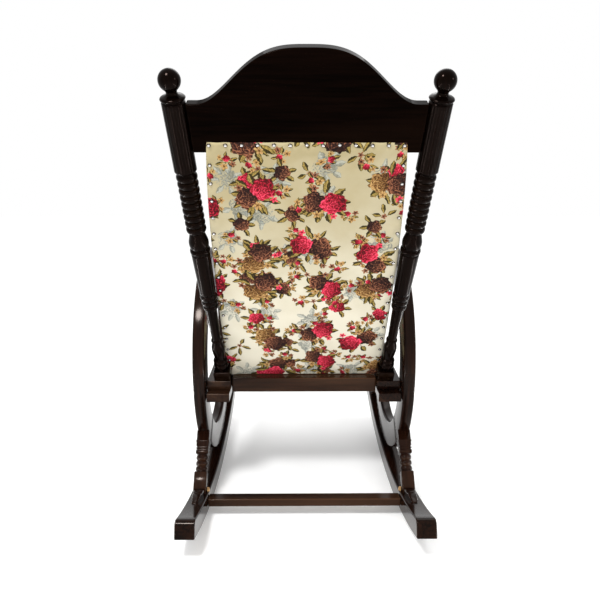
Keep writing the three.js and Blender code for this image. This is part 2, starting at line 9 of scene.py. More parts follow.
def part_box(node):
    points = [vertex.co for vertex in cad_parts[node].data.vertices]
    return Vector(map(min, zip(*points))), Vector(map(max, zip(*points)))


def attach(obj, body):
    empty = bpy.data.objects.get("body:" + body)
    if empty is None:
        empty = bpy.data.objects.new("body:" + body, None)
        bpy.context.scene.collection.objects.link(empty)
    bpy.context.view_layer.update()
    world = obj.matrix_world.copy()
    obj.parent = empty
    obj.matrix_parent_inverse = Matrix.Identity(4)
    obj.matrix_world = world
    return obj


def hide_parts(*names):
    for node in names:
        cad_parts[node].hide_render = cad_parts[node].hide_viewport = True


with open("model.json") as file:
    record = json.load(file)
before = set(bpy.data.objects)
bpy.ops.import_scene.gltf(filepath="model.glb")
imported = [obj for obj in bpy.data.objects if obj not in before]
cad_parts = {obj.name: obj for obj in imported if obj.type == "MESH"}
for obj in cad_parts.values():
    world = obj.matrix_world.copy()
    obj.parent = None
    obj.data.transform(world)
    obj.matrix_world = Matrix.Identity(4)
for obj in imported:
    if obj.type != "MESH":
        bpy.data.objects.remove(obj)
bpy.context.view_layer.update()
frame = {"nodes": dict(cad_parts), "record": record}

BODY = "root"
SIDES = (("left", -1), ("right", 1))

# ---- driving dimensions, in metres and radians ---------------------------------------------

RECLINE = math.radians(30.7)  # posts and crest lean back
SLANT = math.radians(3.4)  # the upholstered panel leans further
TILT = math.radians(4.0)  # the seat rises to the front

ROCKER_RADIUS = 1.538
ROCKER_HEIGHT = 0.044
ROCKER_NOSE = 0.014  # rounding of the upper corners at both ends
ROCKER_STEPS = 64

HOOP_SECTION = 0.074  # from the outer edge to the inner edge
HOOP_CORNER = 0.005
HOOP_JOINTS = 4
HOOP_STEPS = 26  # between two joints
JOINT_DEPTH = 0.0006

LEG_HALF = 0.017
LEG_RAKE = math.radians(36.2)
LEG_SWING = math.radians(10.7)  # from the rear leg's mirror image to the front leg
LEG_FOOT = Vector((0.0, -0.190, 0.060))  # from where the rocker touches the floor
LEG_SPAN = (-0.024, 0.157)  # ends inside the rocker and inside the hoop
NECK_SPAN = (0.047, 0.092)
NECK_RADIUS = 0.0125
NECK_BEADS = 3
NECK_BEAD_RADIUS = 0.0165
TOE_SPAN = (-0.172, -0.286)
TOE_HALVES = (0.016, 0.0075)
TOE_RISE = 0.013

POST_FOOT_X = 0.219
POST_TOP_X = 0.2555
POST_HEIGHT = 0.806  # from the foot to the middle of the ball
POST_SIDES = 160
BEAD_STEPS = 8
BEAD_FULLNESS = 0.6  # below 1 makes a bead rounder
PLINTH_HALF = 0.0215
PLINTH_TOP = 0.036
BALL_RADIUS = 0.0215
BEAD_BOTTOM = 0.474
BEAD_PITCH = 0.0158
BEAD_COUNT = 9
BEAD_RADIUS = 0.0223
BEAD_NECK = 0.0185
REED_SPAN = (0.622, 0.766)
REED_RADIUS = 0.0232
REED_DEPTH = 0.0013
REED_COUNT = 16

CREST_BOTTOM = 0.666
CREST_SHOULDER = 0.764
CREST_TOP = 0.867
CREST_REACH = 0.210  # half width of the raised bell
CREST_POWER = 1.55
CREST_STEPS = 72

PANEL_LAP = 0.023  # the rear cover laps up over the crest by this
PANEL_BOW = 0.0105  # the panel's sides swell by this over a straight line
BOW_HIGH = 0.7  # below 1 puts the widest place above the middle
FOOT_DRAWN_IN = 0.0015  # at the foot, from the panel's full width
NAIL_INSETS = (0.005, 0.008)  # from the cover's edge, in the top row and further down
NAIL_INSET_RUN = 0.06
NAIL_RADIUS = 0.0041
NAIL_WANDER = 0.0007  # hand-set nails miss their place by up to this
TOP_NAILS = 13
SIDE_NAILS = 16
SIDE_NAIL_SPAN = (0.045, 0.014)  # first one below the top row, last one above the cover's foot
BROAD_EDGE, FINE_EDGE = 0.003, 0.001  # rounding of boards
SEED = 7
FULL_TURN = 2 * math.pi


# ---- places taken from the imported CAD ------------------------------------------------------

LEVEL = Matrix.Identity(4)
SEAT_FRAME = Matrix.Rotation(TILT, 4, "X")


def local_box(nodes, place):
    """Lowest and highest corners of CAD nodes, in a frame of their own."""
    inward = place.inverted()
    points = [inward @ v.co for name in nodes for v in frame["nodes"][name].data.vertices]
    low = Vector([min(p[i] for p in points) for i in range(3)])
    high = Vector([max(p[i] for p in points) for i in range(3)])
    return low, high


def back_frame():
    """Z runs up the posts, Y = 0 is the middle of the crest's thickness, Z = 0 the posts' foot."""
    turn = Matrix.Rotation(RECLINE, 4, "X")
    low, high = local_box(["crest_rail"], turn)
    return turn @ Matrix.Translation((0.0, (low.y + high.y) / 2, low.z - CREST_BOTTOM))


def panel_frame():
    """Z = 0 is the crest's lower edge, Y = 0 the inner face of the rear cover."""
    turn = Matrix.Rotation(RECLINE + SLANT, 4, "X")
    high = local_box(["back_rear_cover"], turn)[1]
    return turn @ Matrix.Translation((0.0, high.y, high.z - PANEL_LAP))


BACK_FRAME = back_frame()
PANEL_FRAME = panel_frame()
CONTACT = Vector((0.0, frame["record"]["mounts"][0]["pos_m"][1], 0.0))


# ---- mesh helpers --------------------------------------------------------------------------

def make(name, points, faces, place=LEVEL):
    mesh = bpy.data.meshes.new(name)
    mesh.from_pydata([tuple(p) for p in points], [], faces)
    mesh.update()
    for polygon in mesh.polygons:
        polygon.use_smooth = True
    piece = bpy.data.objects.new(name, mesh)
    bpy.context.scene.collection.objects.link(piece)
    piece.matrix_world = place
    return piece


def soften(piece, width, segments=3):
    """Rounds every sharp edge and keeps the flat faces flat."""
    bevel = piece.modifiers.new("rounded_edges", "BEVEL")
    bevel.width = width
    bevel.segments = segments
    bevel.limit_method = "ANGLE"
    bevel.angle_limit = math.radians(30)
    bevel.harden_normals = True
    return piece


def loft(rings, closed=False):
    """Points and faces of a skin over rings of equal length; an open loft gets flat ends."""
    count = len(rings[0])
    points = [p for ring in rings for p in ring]
    faces = []
    for i in range(len(rings) if closed else len(rings) - 1):
        a = i * count
        b = ((i + 1) % len(rings)) * count
        for j in range(count):
            k = (j + 1) % count
            faces.append((a + j, a + k, b + k, b + j))
    if not closed:
        faces.append(tuple(reversed(range(count))))
        faces.append(tuple(range((len(rings) - 1) * count, len(rings) * count)))
    return points, faces


def whole_turn(steps):
    return [FULL_TURN * k / steps for k in range(steps)]


def arc(radius, start, end, steps):
    angles = [start + (end - start) * i / steps for i in range(steps + 1)]
    return [(radius * math.cos(a), radius * math.sin(a)) for a in angles]


def rounded_rectangle(half_width, half_height, corner, steps=5):
    outline = []
    for quarter, (sx, sy) in enumerate(((1, 1), (-1, 1), (-1, -1), (1, -1))):
        middle = (sx * (half_width - corner), sy * (half_height - corner))
        start = quarter * math.pi / 2
        for u, v in arc(corner, start, start + math.pi / 2, steps):
            outline.append((middle[0] + u, middle[1] + v))
    return outline


def board(name, turn, rounding=0.0022):
    """A plank with eased edges, in the space of its CAD node."""
    low, high = local_box([name], turn)
    corners = [(low.x, low.y), (high.x, low.y), (high.x, high.y), (low.x, high.y)]
    rings = [[Vector((x, y, z)) for x, y in corners] for z in (low.z, high.z)]
    return soften(make("smooth_" + name, *loft(rings), turn), rounding)


def cord(name, path, radius, place, sides=10):
    """A closed round cord along a closed path."""
    rings = []
    side = Vector((0.0, 0.0, 1.0))
    for i, point in enumerate(path):
        ahead = (path[(i + 1) % len(path)] - path[i - 1]).normalized()
        side = (side - ahead * side.dot(ahead)).normalized()
        other = ahead.cross(side)
        turns = [(math.cos(t), math.sin(t)) for t in whole_turn(sides)]
        rings.append([point + radius * (u * side + v * other) for u, v in turns])
    return make(name, *loft(rings, closed=True), place)


def finish_piece(piece, material, nodes=()):
    piece.data.materials.clear()
    piece.data.materials.append(material)
    if nodes:
        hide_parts(*nodes)
    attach(piece, BODY)
    return piece


# ---- shader helpers ------------------------------------------------------------------------

class Graph:
    """Adds nodes to one material. An input may be a number, a vector or another node's socket."""

    def __init__(self, name):
        self.material = bpy.data.materials.new(name)
        self.material.use_nodes = True
        self.tree = self.material.node_tree
        self.shader = self.tree.nodes["Principled BSDF"]

    def feed(self, socket, value):
        if isinstance(value, bpy.types.NodeSocket):
            self.tree.links.new(value, socket)
        elif value is not None:
            socket.default_value = value

    def node(self, kind, inputs=(), **settings):
        made = self.tree.nodes.new(kind)
        for key, value in settings.items():
            setattr(made, key, value)
        for key, value in dict(inputs).items():
            self.feed(made.inputs[key], value)
        return made

    def math(self, operation, *values):
        made = self.node("ShaderNodeMath", operation=operation)
        for socket, value in zip(made.inputs, values):
            self.feed(socket, value)
        return made.outputs[0]

    def add(self, first, *others):
        for other in others:
            first = self.math("ADD", first, other)
        return first

    def times(self, first, *others):
        for other in others:
            first = self.math("MULTIPLY", first, other)
        return first

    def vector(self, operation, *values):
        made = self.node("ShaderNodeVectorMath", operation=operation)
        for socket, value in zip(made.inputs, values):
            self.feed(socket, value)
        return made.outputs[0]

    def mix(self, factor, first, second):
        made = self.node("ShaderNodeMix", data_type="RGBA")
        self.feed(made.inputs[0], factor)
        self.feed(made.inputs[6], first)
        self.feed(made.inputs[7], second)
        return made.outputs[2]

    def step(self, value, start, end):
        """0 before start and 1 past end, smooth between; start may be the larger one."""
        made = self.node("ShaderNodeMapRange", interpolation_type="SMOOTHSTEP")
        for index, number in enumerate((value, start, end, 0.0, 1.0)):
            self.feed(made.inputs[index], number)
        return made.outputs[0]

    def ramp(self, factor, stops):
        made = self.node("ShaderNodeValToRGB", {"Fac": factor})
        elements = made.color_ramp.elements
        while len(elements) < len(stops):
            elements.new(0.5)
        for element, (place, colour) in zip(elements, stops):
            element.position = place
            element.color = (*colour, 1.0)
        return made.outputs[0]

    def noise(self, coords, scale, detail=2.0, roughness=0.5):
        inputs = {"Vector": coords, "Scale": scale, "Detail": detail, "Roughness": roughness}
        return self.node("ShaderNodeTexNoise", inputs).outputs[0]

    def bump(self, height, strength, distance, normal=None):
        inputs = {"Height": height, "Strength": strength, "Distance": distance, "Normal": normal}
        return self.node("ShaderNodeBump", inputs).outputs[0]

    def set(self, **values):
        for key, value in values.items():
            self.feed(self.shader.inputs[key.replace("_", " ")], value)


# ---- wood and metal ------------------------------------------------------------------------

GRAIN_STRETCH = 0.06
HOOP_RADIUS = 0.27  # to the middle of its section, for the length of the grain


def straight_grain(graph, along):
    """Object coordinates, shortened along the grain."""
    coords = graph.node("ShaderNodeTexCoord").outputs["Object"]
    scale = [1.0, 1.0, 1.0]
    scale["XYZ".index(along)] = GRAIN_STRETCH
    return graph.node("ShaderNodeMapping", {"Vector": coords, "Scale": scale}).outputs[0]


def ring_grain(graph):
    """Grain that follows a hoop about the X axis, cut into a separate board at each joint."""
    coords = graph.node("ShaderNodeTexCoord").outputs["Object"]
    x, y, z = graph.node("ShaderNodeSeparateXYZ", {"Vector": coords}).outputs
    turn = graph.math("ARCTAN2", z, y)
    radius = graph.math("SQRT", graph.add(graph.times(y, y), graph.times(z, z)))
    quarter = graph.math("FLOOR", graph.add(graph.times(turn, HOOP_JOINTS / FULL_TURN), 0.5))
    round_board = graph.math("PINGPONG", quarter, HOOP_JOINTS / 2)
    along = graph.times(turn, HOOP_RADIUS * GRAIN_STRETCH)
    inputs = {"X": graph.add(x, round_board), "Y": radius, "Z": along}
    return graph.node("ShaderNodeCombineXYZ", inputs).outputs[0]


# Patches of the arrises are painted lighter: partly wear, partly painted highlight along the edges.
WORN_AND_HIGHLIT_EDGE = (0.24, 0.12, 0.06, 1.0)
BOARD_WEAR_AND_SHEEN = 0.7
TURNED_WEAR_AND_SHEEN = 0.06
ARRIS_SPAN = (0.53, 0.62)  # pointiness of an edge, from just rounded to sharp
WEAR_AND_SHEEN_SPAN = (0.4, 0.62)  # cloud values that turn into patches of wear and painted highlight
STREAK_SCALE, CLOUD_SCALE, PORE_SCALE = 150.0, 14.0, 900.0
SMUDGE_SCALE, SMUDGE_SPREAD = 30.0, 0.16
WAVINESS_SCALE = 42.0
TONE_SPAN = (0.38, 0.52, 0.68)
BASE_TONES = ((0.0020, 0.0009, 0.0006), (0.0150, 0.0050, 0.0026))
# The posts and the crest get these darker tones of the same wood as painted shade.
BACK_SHADE_TONES = ((0.0005, 0.0003, 0.0002), (0.0028, 0.0011, 0.0007))
BASE_GLOSS, BACK_GLOSS = 0.06, 0.05
BASE_SHINE, POST_SHINE, CREST_SHINE = 0.10, 0.045, 0.008
BASE_TINT = (1.0, 0.86, 0.78, 1.0)
BACK_TINT = (1.0, 0.70, 0.60, 1.0)


def stained_wood(graph, coords, tones, gloss, wear_and_sheen):
    """Dark stained wood under lacquer: streaky grain, arrises lightened in patches, partly as wear and
    partly as painted highlight, and a slightly wavy gloss.
    """
    dark, warm = tones
    middle = [(a + b) / 2 for a, b in zip(dark, warm)]
    streaks = graph.noise(coords, STREAK_SCALE, 6.0, 0.6)
    clouds = graph.noise(coords, CLOUD_SCALE, 3.0)
    pores = graph.noise(coords, PORE_SCALE)
    smudge = graph.noise(coords, SMUDGE_SCALE, 4.0)
    tone = graph.add(graph.times(streaks, 0.6), graph.times(clouds, 0.4))
    colour = graph.ramp(tone, list(zip(TONE_SPAN, (dark, middle, warm))))
    arris = graph.node("ShaderNodeNewGeometry").outputs["Pointiness"]
    # Sharp edges are painted lighter in patches: partly wear, partly painted highlight.
    edge_wear_and_sheen = graph.times(graph.step(arris, *ARRIS_SPAN), graph.step(clouds, *WEAR_AND_SHEEN_SPAN), wear_and_sheen)
    grain = graph.add(graph.times(streaks, 0.7), graph.times(pores, 0.3))
    normal = graph.bump(grain, 0.14, 0.0004)
    normal = graph.bump(graph.noise(coords, WAVINESS_SCALE), 0.22, 0.0006, normal)
    graph.set(Base_Color=graph.mix(edge_wear_and_sheen, colour, WORN_AND_HIGHLIT_EDGE), Normal=normal)
    graph.set(Roughness=graph.add(gloss, graph.times(smudge, SMUDGE_SPREAD)))


def base_lacquer(along):
    """The dark brown, glossy finish of the rockers, legs, hoops and rails."""
    graph = Graph("lacquer_" + along.lower())
    coords = ring_grain(graph) if along == "ring" else straight_grain(graph, along)
    wear_and_sheen = TURNED_WEAR_AND_SHEEN if along == "Z" else BOARD_WEAR_AND_SHEEN
    stained_wood(graph, coords, BASE_TONES, BASE_GLOSS, wear_and_sheen)
    graph.set(Specular_IOR_Level=BASE_SHINE, Specular_Tint=BASE_TINT)
    return graph.material


def back_lacquer(along, shine):
    """A nearly black copy of the lacquer for the posts and the crest; its darker tones are painted
    shade.
    """
    graph = Graph("shaded_lacquer_" + along.lower())
    stained_wood(graph, straight_grain(graph, along), BACK_SHADE_TONES, BACK_GLOSS, TURNED_WEAR_AND_SHEEN)
    graph.set(Specular_IOR_Level=shine, Specular_Tint=BACK_TINT)
    return graph.material


PALE_GRAIN = [(0.3, (0.26, 0.13, 0.05)), (0.55, (0.52, 0.31, 0.13)), (0.75, (0.66, 0.45, 0.22))]
TARNISH = [(0.35, (0.20, 0.19, 0.18)), (0.62, (0.58, 0.57, 0.55))]
# Painted shade: the nail heads darken from the middle of the dome to the rim.
NAIL_RIM_SHADE = [(0.0, (0.72, 0.71, 0.69)), (0.5, (0.42, 0.41, 0.40)), (0.82, (0.07, 0.06, 0.05))]
NAIL_REACH = "reach_from_middle"


def bare_wood():
    graph = Graph("bare_wood")
    streaks = graph.noise(straight_grain(graph, "X"), 90.0, 5.0, 0.65)
    graph.set(Base_Color=graph.ramp(streaks, PALE_GRAIN), Roughness=0.62)
    graph.set(Normal=graph.bump(streaks, 0.35, 0.0004))
    return graph.material


def bright_metal():
    graph = Graph("bright_metal")
    coords = graph.node("ShaderNodeTexCoord").outputs["Object"]
    tarnish = graph.noise(coords, 260.0, 3.0)
    graph.set(Base_Color=graph.ramp(tarnish, TARNISH), Metallic=1.0)
    graph.set(Roughness=graph.add(0.12, graph.times(tarnish, 0.2)))
    return graph.material


def nail_metal():
    """Bright domes, painted darker towards the rim where they meet the cloth: painted shade."""
    graph = Graph("nail_metal")
    reach = graph.node("ShaderNodeAttribute", attribute_name=NAIL_REACH).outputs["Fac"]
    graph.set(Base_Color=graph.ramp(reach, NAIL_RIM_SHADE), Metallic=1.0, Roughness=0.16)
    return graph.material


# ---- printed cotton ------------------------------------------------------------------------

# The ground's tone in painted shade and in painted light.
CREAM_SHADED_AND_LIT = ((0.32, 0.27, 0.15), (0.56, 0.525, 0.425))
THREAD_SHADE = (0.10, 0.07, 0.04, 1.0)
CRIMSON = ((0.045, 0.0005, 0.003), (0.30, 0.004, 0.018), (0.72, 0.055, 0.11))
BROWN = ((0.006, 0.0015, 0.0015), (0.035, 0.009, 0.006), (0.27, 0.10, 0.048))
TAN = ((0.03, 0.010, 0.003), (0.16, 0.070, 0.018), (0.44, 0.27, 0.10))
OLIVE = ((0.008, 0.0065, 0.002), (0.050, 0.037, 0.007), (0.30, 0.21, 0.055))
GREY = ((0.085, 0.10, 0.095), (0.21, 0.235, 0.215), (0.36, 0.37, 0.32))
TONE_STOPS = (0.05, 0.4, 0.8)
GROUND_SHADE_SPAN = (0.03, -0.56)  # heights on the cloth between which its ground gets paler downwards: painted shade above, painted light below
LIGHT_SIDE = (0.5, 0.8, 0.0)  # the painted flowers are lighter towards here
MIDDLE = (0.0, 0.0)
HALF_TONE = (0.5, 0.5, 0.5)


def scatter(graph, cloth, spacing, shift, jitter):
    """Position from the nearest motif's middle, turned at random, and three random numbers."""
    moved = graph.vector("ADD", cloth, shift)
    inputs = {"Vector": moved, "Scale": 1 / spacing, "Randomness": jitter}
    cells = graph.node("ShaderNodeTexVoronoi", inputs, voronoi_dimensions="2D")
    away = graph.vector("SUBTRACT", moved, cells.outputs["Position"])
    lots = graph.node("ShaderNodeSeparateColor", {"Color": cells.outputs["Color"]}).outputs
    inputs = {"Vector": away, "Angle": graph.times(lots[0], FULL_TURN)}
    turned = graph.node("ShaderNodeVectorRotate", inputs, rotation_type="Z_AXIS").outputs[0]
    return turned, lots


def polar(graph, seen):
    x, y, _ = graph.node("ShaderNodeSeparateXYZ", {"Vector": seen}).outputs
    radius = graph.math("SQRT", graph.add(graph.times(x, x), graph.times(y, y)))
    return radius, graph.math("ARCTAN2", y, x)


def waves(graph, angle, count, phase):
    return graph.math("SINE", graph.add(graph.times(angle, count), phase))


def three_tones(graph, shade, tones):
    return graph.ramp(shade, list(zip(TONE_STOPS, tones)))


ROSE_EDGE = 0.88  # mean outline, as a share of the rose's size
ROSE_LOBES = (5.0, 0.08)  # number and reach
ROSE_RUFFLES = (13.0, 0.035)
ROSE_BLUR = 0.02
PETAL_ROWS = 3.3
HALF_PETALS = 2.5  # in one row
ROW_TURN = 1.9
WOBBLE_SCALE = 95.0
WOBBLE_SHIFT = (1.0, 2.0, 3.0)
WOBBLE_IN, WOBBLE_ROUND = 1.3, 2.2
PETAL_DEPTH = 0.8
ROSE_FLECKS = (190.0, 4.0, 0.6)
ROSE_CONTRAST = 1.7
RIM_LIGHT, SIDE_LIGHT = 0.62, 0.36
ROSE_DARKENING = -0.86


def rose(graph, local, at, size, lot):
    """Mask and shade of a full rose: wavy outline and rings of petals with light rims."""
    seen = graph.vector("SUBTRACT", local, (*at, 0.0))
    radius, angle = polar(graph, seen)
    phase = graph.times(lot, 40.0)
    wobble = graph.noise(graph.vector("ADD", local, WOBBLE_SHIFT), WOBBLE_SCALE, 2.0)
    reach = graph.times(radius, 1 / size)
    edge = ROSE_EDGE
    for count, lift in (ROSE_LOBES, ROSE_RUFFLES):
        edge = graph.add(edge, graph.times(waves(graph, angle, count, phase), lift))
    mask = graph.step(reach, graph.add(edge, ROSE_BLUR), graph.add(edge, -ROSE_BLUR))
    rings = graph.add(graph.times(reach, PETAL_ROWS), graph.times(wobble, WOBBLE_IN))
    row = graph.times(graph.math("FLOOR", rings), ROW_TURN)
    offset = graph.add(row, phase, graph.times(wobble, WOBBLE_ROUND))
    scallop = graph.math("ABSOLUTE", waves(graph, angle, HALF_PETALS, offset))
    petal = graph.math("FRACT", graph.add(rings, graph.times(scallop, PETAL_DEPTH)))
    inputs = {0: seen, 1: LIGHT_SIDE}
    lit = graph.node("ShaderNodeVectorMath", inputs, operation="DOT_PRODUCT").outputs["Value"]
    flecks = graph.times(graph.noise(local, *ROSE_FLECKS), ROSE_CONTRAST)
    shade = graph.add(graph.times(petal, RIM_LIGHT), graph.times(lit, SIDE_LIGHT / size))
    return mask, graph.add(shade, flecks, ROSE_DARKENING)


LEAF_BLUR = 0.0004
LEAF_RIM = 0.0018
RIB_WIDTHS = (0.0009, 0.0003)
STALK_WIDTHS = (0.0009, 0.0004)
LEAF_SPREAD = 0.35  # radians of random turn
LEAVES_MISSING = 0.22  # share
LEAF_WEIGHTS = (0.42, 0.95, 0.3, -0.35)  # of one half, the flecks, the rib and the rim
LEAF_DARKENING = -0.24


def leaves(graph, local, at, kind, lot):
    """Mask and shade of leaves on thin stalks, spread around a point, some left out."""
    count, inner, length, width = kind
    radius, angle = polar(graph, graph.vector("SUBTRACT", local, (*at, 0.0)))
    turn = graph.add(graph.times(angle, count / FULL_TURN), graph.times(lot, 7.0))
    index = graph.math("FLOORED_MODULO", graph.math("FLOOR", turn), float(count))
    seed = graph.node("ShaderNodeCombineXYZ", {"X": index, "Y": graph.times(lot, 9.0)}).outputs[0]
    luck = graph.node("ShaderNodeTexWhiteNoise", {"Vector": seed}, noise_dimensions="2D").outputs[0]
    off = graph.times(graph.add(graph.math("FRACT", turn), -0.5), FULL_TURN / count)
    off = graph.add(off, graph.times(graph.add(luck, -0.5), LEAF_SPREAD))
    reach = graph.times(radius, graph.math("COSINE", off))
    across = graph.times(radius, graph.math("SINE", off))
    size = graph.times(graph.add(0.6, graph.times(luck, 0.4)), length)
    along = graph.math("DIVIDE", graph.add(reach, -inner), size)
    belly = graph.times(along, graph.math("SUBTRACT", 1.0, along), 4.0 * width)
    spread = graph.math("ABSOLUTE", across)
    inside = graph.add(belly, -LEAF_BLUR)
    blade = graph.step(spread, graph.add(belly, LEAF_BLUR), inside)
    stalk = graph.times(graph.step(spread, *STALK_WIDTHS), graph.step(along, 0.02, -0.02))
    stalk = graph.times(stalk, graph.step(reach, 0.0, 0.001))
    grown = graph.math("GREATER_THAN", luck, LEAVES_MISSING)
    mask = graph.times(graph.math("MAXIMUM", blade, stalk), grown)
    rib = graph.step(spread, *RIB_WIDTHS)
    half = graph.step(across, -LEAF_BLUR, LEAF_BLUR)
    rim = graph.step(spread, graph.add(belly, -LEAF_RIM), inside)
    flecks = graph.noise(local, 260.0, 2.0)
    shade = LEAF_DARKENING
    for part, weight in zip((half, flecks, rib, rim), LEAF_WEIGHTS):
        shade = graph.add(graph.times(part, weight), shade)
    return mask, shade


def blossom(graph, local, at, size, lot):
    """Mask and shade of a small flower with five petals and a dark eye."""
    radius, angle = polar(graph, graph.vector("SUBTRACT", local, (*at, 0.0)))
    phase = graph.times(lot, 20.0)
    petals = graph.add(graph.times(angle, HALF_PETALS), phase)
    petals = graph.math("ABSOLUTE", graph.math("COSINE", petals))
    edge = graph.times(graph.add(0.42, graph.times(petals, 0.58)), size)
    mask = graph.step(radius, graph.add(edge, LEAF_BLUR), graph.add(edge, -LEAF_BLUR))
    eye = graph.times(graph.step(radius, 0.15 * size, 0.4 * size), 0.4)
    flecks = graph.noise(local, 500.0)
    return mask, graph.add(graph.times(petals, 0.35), eye, flecks, -0.5)


def ghost_rose(graph, local, at, size, lot):
    """A rose of which only the darker lines are printed."""
    mask, shade = rose(graph, local, at, size, lot)
    return graph.times(mask, graph.step(shade, 0.62, 0.22)), shade


# Leaves: how many, where they start, their length and half their width.
GHOST_LEAVES = (7, 0.016, 0.030, 0.0060)
TWIG_LEAVES = (6, 0.004, 0.021, 0.0040)
SPRAY_LEAVES = (5, 0.007, 0.031, 0.0056)
SINGLE_LEAVES = (7, 0.012, 0.029, 0.0058)
BOUQUET_LEAVES = (9, 0.024, 0.036, 0.0072)
BOUQUET_TWIG = (6, 0.010, 0.030, 0.0052)
# Tones that differ between motifs: the second set where a random number is above its limit.
SINGLE_TONES = {"lot": 0, "limit": 0.6, "sets": (BROWN, CRIMSON)}
RIGHT_TONES = {"lot": 2, "limit": 0.66, "sets": (BROWN, TAN)}
LEFT_TONES = {"lot": 2, "limit": 0.66, "sets": (CRIMSON, BROWN)}
# What a motif is made of, from back to front: shape, place, size, random number and tones.
GHOST = (
    (leaves, MIDDLE, GHOST_LEAVES, 1, GREY),
    (ghost_rose, (0.004, 0.0), 0.027, 1, GREY),
)
SPRAY = (
    (leaves, MIDDLE, SPRAY_LEAVES, 1, OLIVE),
    (blossom, (0.001, 0.0), 0.0075, 1, BROWN),
)
SPRIG = (
    (leaves, MIDDLE, TWIG_LEAVES, 1, OLIVE),
    (blossom, (0.010, 0.006), 0.0085, 1, TAN),
    (blossom, (-0.008, 0.012), 0.0072, 1, BROWN),
    (blossom, (0.004, -0.014), 0.006, 1, TAN),
    (rose, (-0.005, -0.004), 0.0078, 1, CRIMSON),
)
SINGLE = (
    (leaves, MIDDLE, SINGLE_LEAVES, 1, OLIVE),
    (rose, MIDDLE, 0.0205, 1, SINGLE_TONES),
)
BOUQUET = (
    (leaves, (0.002, 0.0), BOUQUET_LEAVES, 1, OLIVE),
    (leaves, (0.006, 0.014), BOUQUET_TWIG, 2, OLIVE),
    (rose, (0.021, 0.008), 0.0280, 2, RIGHT_TONES),
    (rose, (-0.016, -0.010), 0.0300, 1, LEFT_TONES),
    (blossom, (0.000, 0.029), 0.010, 0, TAN),
    (blossom, (0.037, -0.019), 0.009, 0, BROWN),
    (blossom, (-0.036, 0.018), 0.008, 0, CRIMSON),
)
# Layers, from back to front: the spacing of the motifs, a shift of the cloth and how irregular
# they are; then the share left out, the strength of the print and the motif.
LAYERS = (
    ((0.104, (0.31, 0.17, 0.0), 0.6), 0.2, 0.72, GHOST),
    ((0.092, (0.23, 0.61, 0.0), 0.7), 0.45, 1.0, SPRAY),
    ((0.066, (0.05, 0.43, 0.0), 0.7), 0.36, 1.0, SPRIG),
    ((0.100, (0.66, 0.28, 0.0), 0.55), 0.42, 1.0, SINGLE),
    ((0.090, (0.52, 0.71, 0.0), 0.7), 0.36, 1.0, SPRIG),
    ((0.138, (0.0, 0.0, 0.0), 0.5), 0.0, 1.0, BOUQUET),
)


def toned(graph, shade, tones, lots):
    if not isinstance(tones, dict):
        return three_tones(graph, shade, tones)
    choice = graph.math("GREATER_THAN", lots[tones["lot"]], tones["limit"])
    first, second = [three_tones(graph, shade, given) for given in tones["sets"]]
    return graph.mix(choice, first, second)


def printed_layer(graph, colour, cloth, cells, left_out, strength, motif):
    """Prints one layer of motifs over the colour so far."""
    local, lots = scatter(graph, cloth, *cells)
    shown = graph.times(graph.math("GREATER_THAN", lots[2], left_out), strength)
    for shape, at, size, lot, tones in motif:
        mask, shade = shape(graph, local, at, size, lots[lot])
        colour = graph.mix(graph.times(mask, shown), colour, toned(graph, shade, tones, lots))
    return colour


THREADS = 160.0


def weave(graph, coords):
    """Plain weave with slubs, as a height."""
    threads = []
    for direction in ("X", "Y"):
        inputs = {"Vector": coords, "Scale": THREADS, "Distortion": 0.6, "Detail": 1.0}
        settings = {"wave_type": "BANDS", "bands_direction": direction}
        threads.append(graph.node("ShaderNodeTexWave", inputs, **settings).outputs["Fac"])
    return graph.math("MAXIMUM", *threads)


DRIFT = (7.0, 1.0, 0.03)  # scale, detail and reach of the slow wander of the print
BRUSH = (120.0, 2.0, 0.007)  # and of the hand-painted look of its outlines


def wander(graph, cloth, scale, detail, reach):
    """A random shift of the cloth coordinates."""
    shift = graph.node("ShaderNodeTexNoise", {"Vector": cloth, "Scale": scale, "Detail": detail})
    shift = graph.vector("SUBTRACT", shift.outputs[1], HALF_TONE)
    return graph.vector("MULTIPLY", shift, (reach, reach, 0.0))


def floral_cotton():
    graph = Graph("floral_cotton")
    plain = graph.node("ShaderNodeTexCoord").outputs["UV"]
    cloth = graph.vector("ADD", plain, wander(graph, plain, *DRIFT))
    cloth = graph.vector("ADD", cloth, wander(graph, plain, *BRUSH))
    height = graph.node("ShaderNodeSeparateXYZ", {"Vector": cloth}).outputs["Y"]
    blotches = graph.add(graph.noise(cloth, 9.0, 4.0), -0.5)
    # Painted light: the ground gets paler towards the bottom, with random blotches.
    painted_light_and_blotches = graph.add(graph.step(height, *GROUND_SHADE_SPAN), graph.times(blotches, 0.8))
    colour = graph.mix(painted_light_and_blotches, (*CREAM_SHADED_AND_LIT[0], 1.0), (*CREAM_SHADED_AND_LIT[1], 1.0))
    for layer in LAYERS:
        colour = printed_layer(graph, colour, cloth, *layer)
    threads = weave(graph, plain)
    dimmed = graph.times(graph.math("SUBTRACT", 1.0, threads), 0.14)
    graph.set(Base_Color=graph.mix(dimmed, colour, THREAD_SHADE), Roughness=0.82)
    graph.set(Normal=graph.bump(threads, 0.35, 0.0003), Specular_IOR_Level=0.10)
    graph.set(Sheen_Weight=0.02, Sheen_Roughness=0.5)
    return graph.material


# ---- rockers, hoops and legs ---------------------------------------------------------------

def under_centre(radius, angle):
    """Side view of a point on a circle about the rocker's centre, from straight down."""
    return CONTACT.y + radius * math.sin(angle), ROCKER_RADIUS - radius * math.cos(angle)


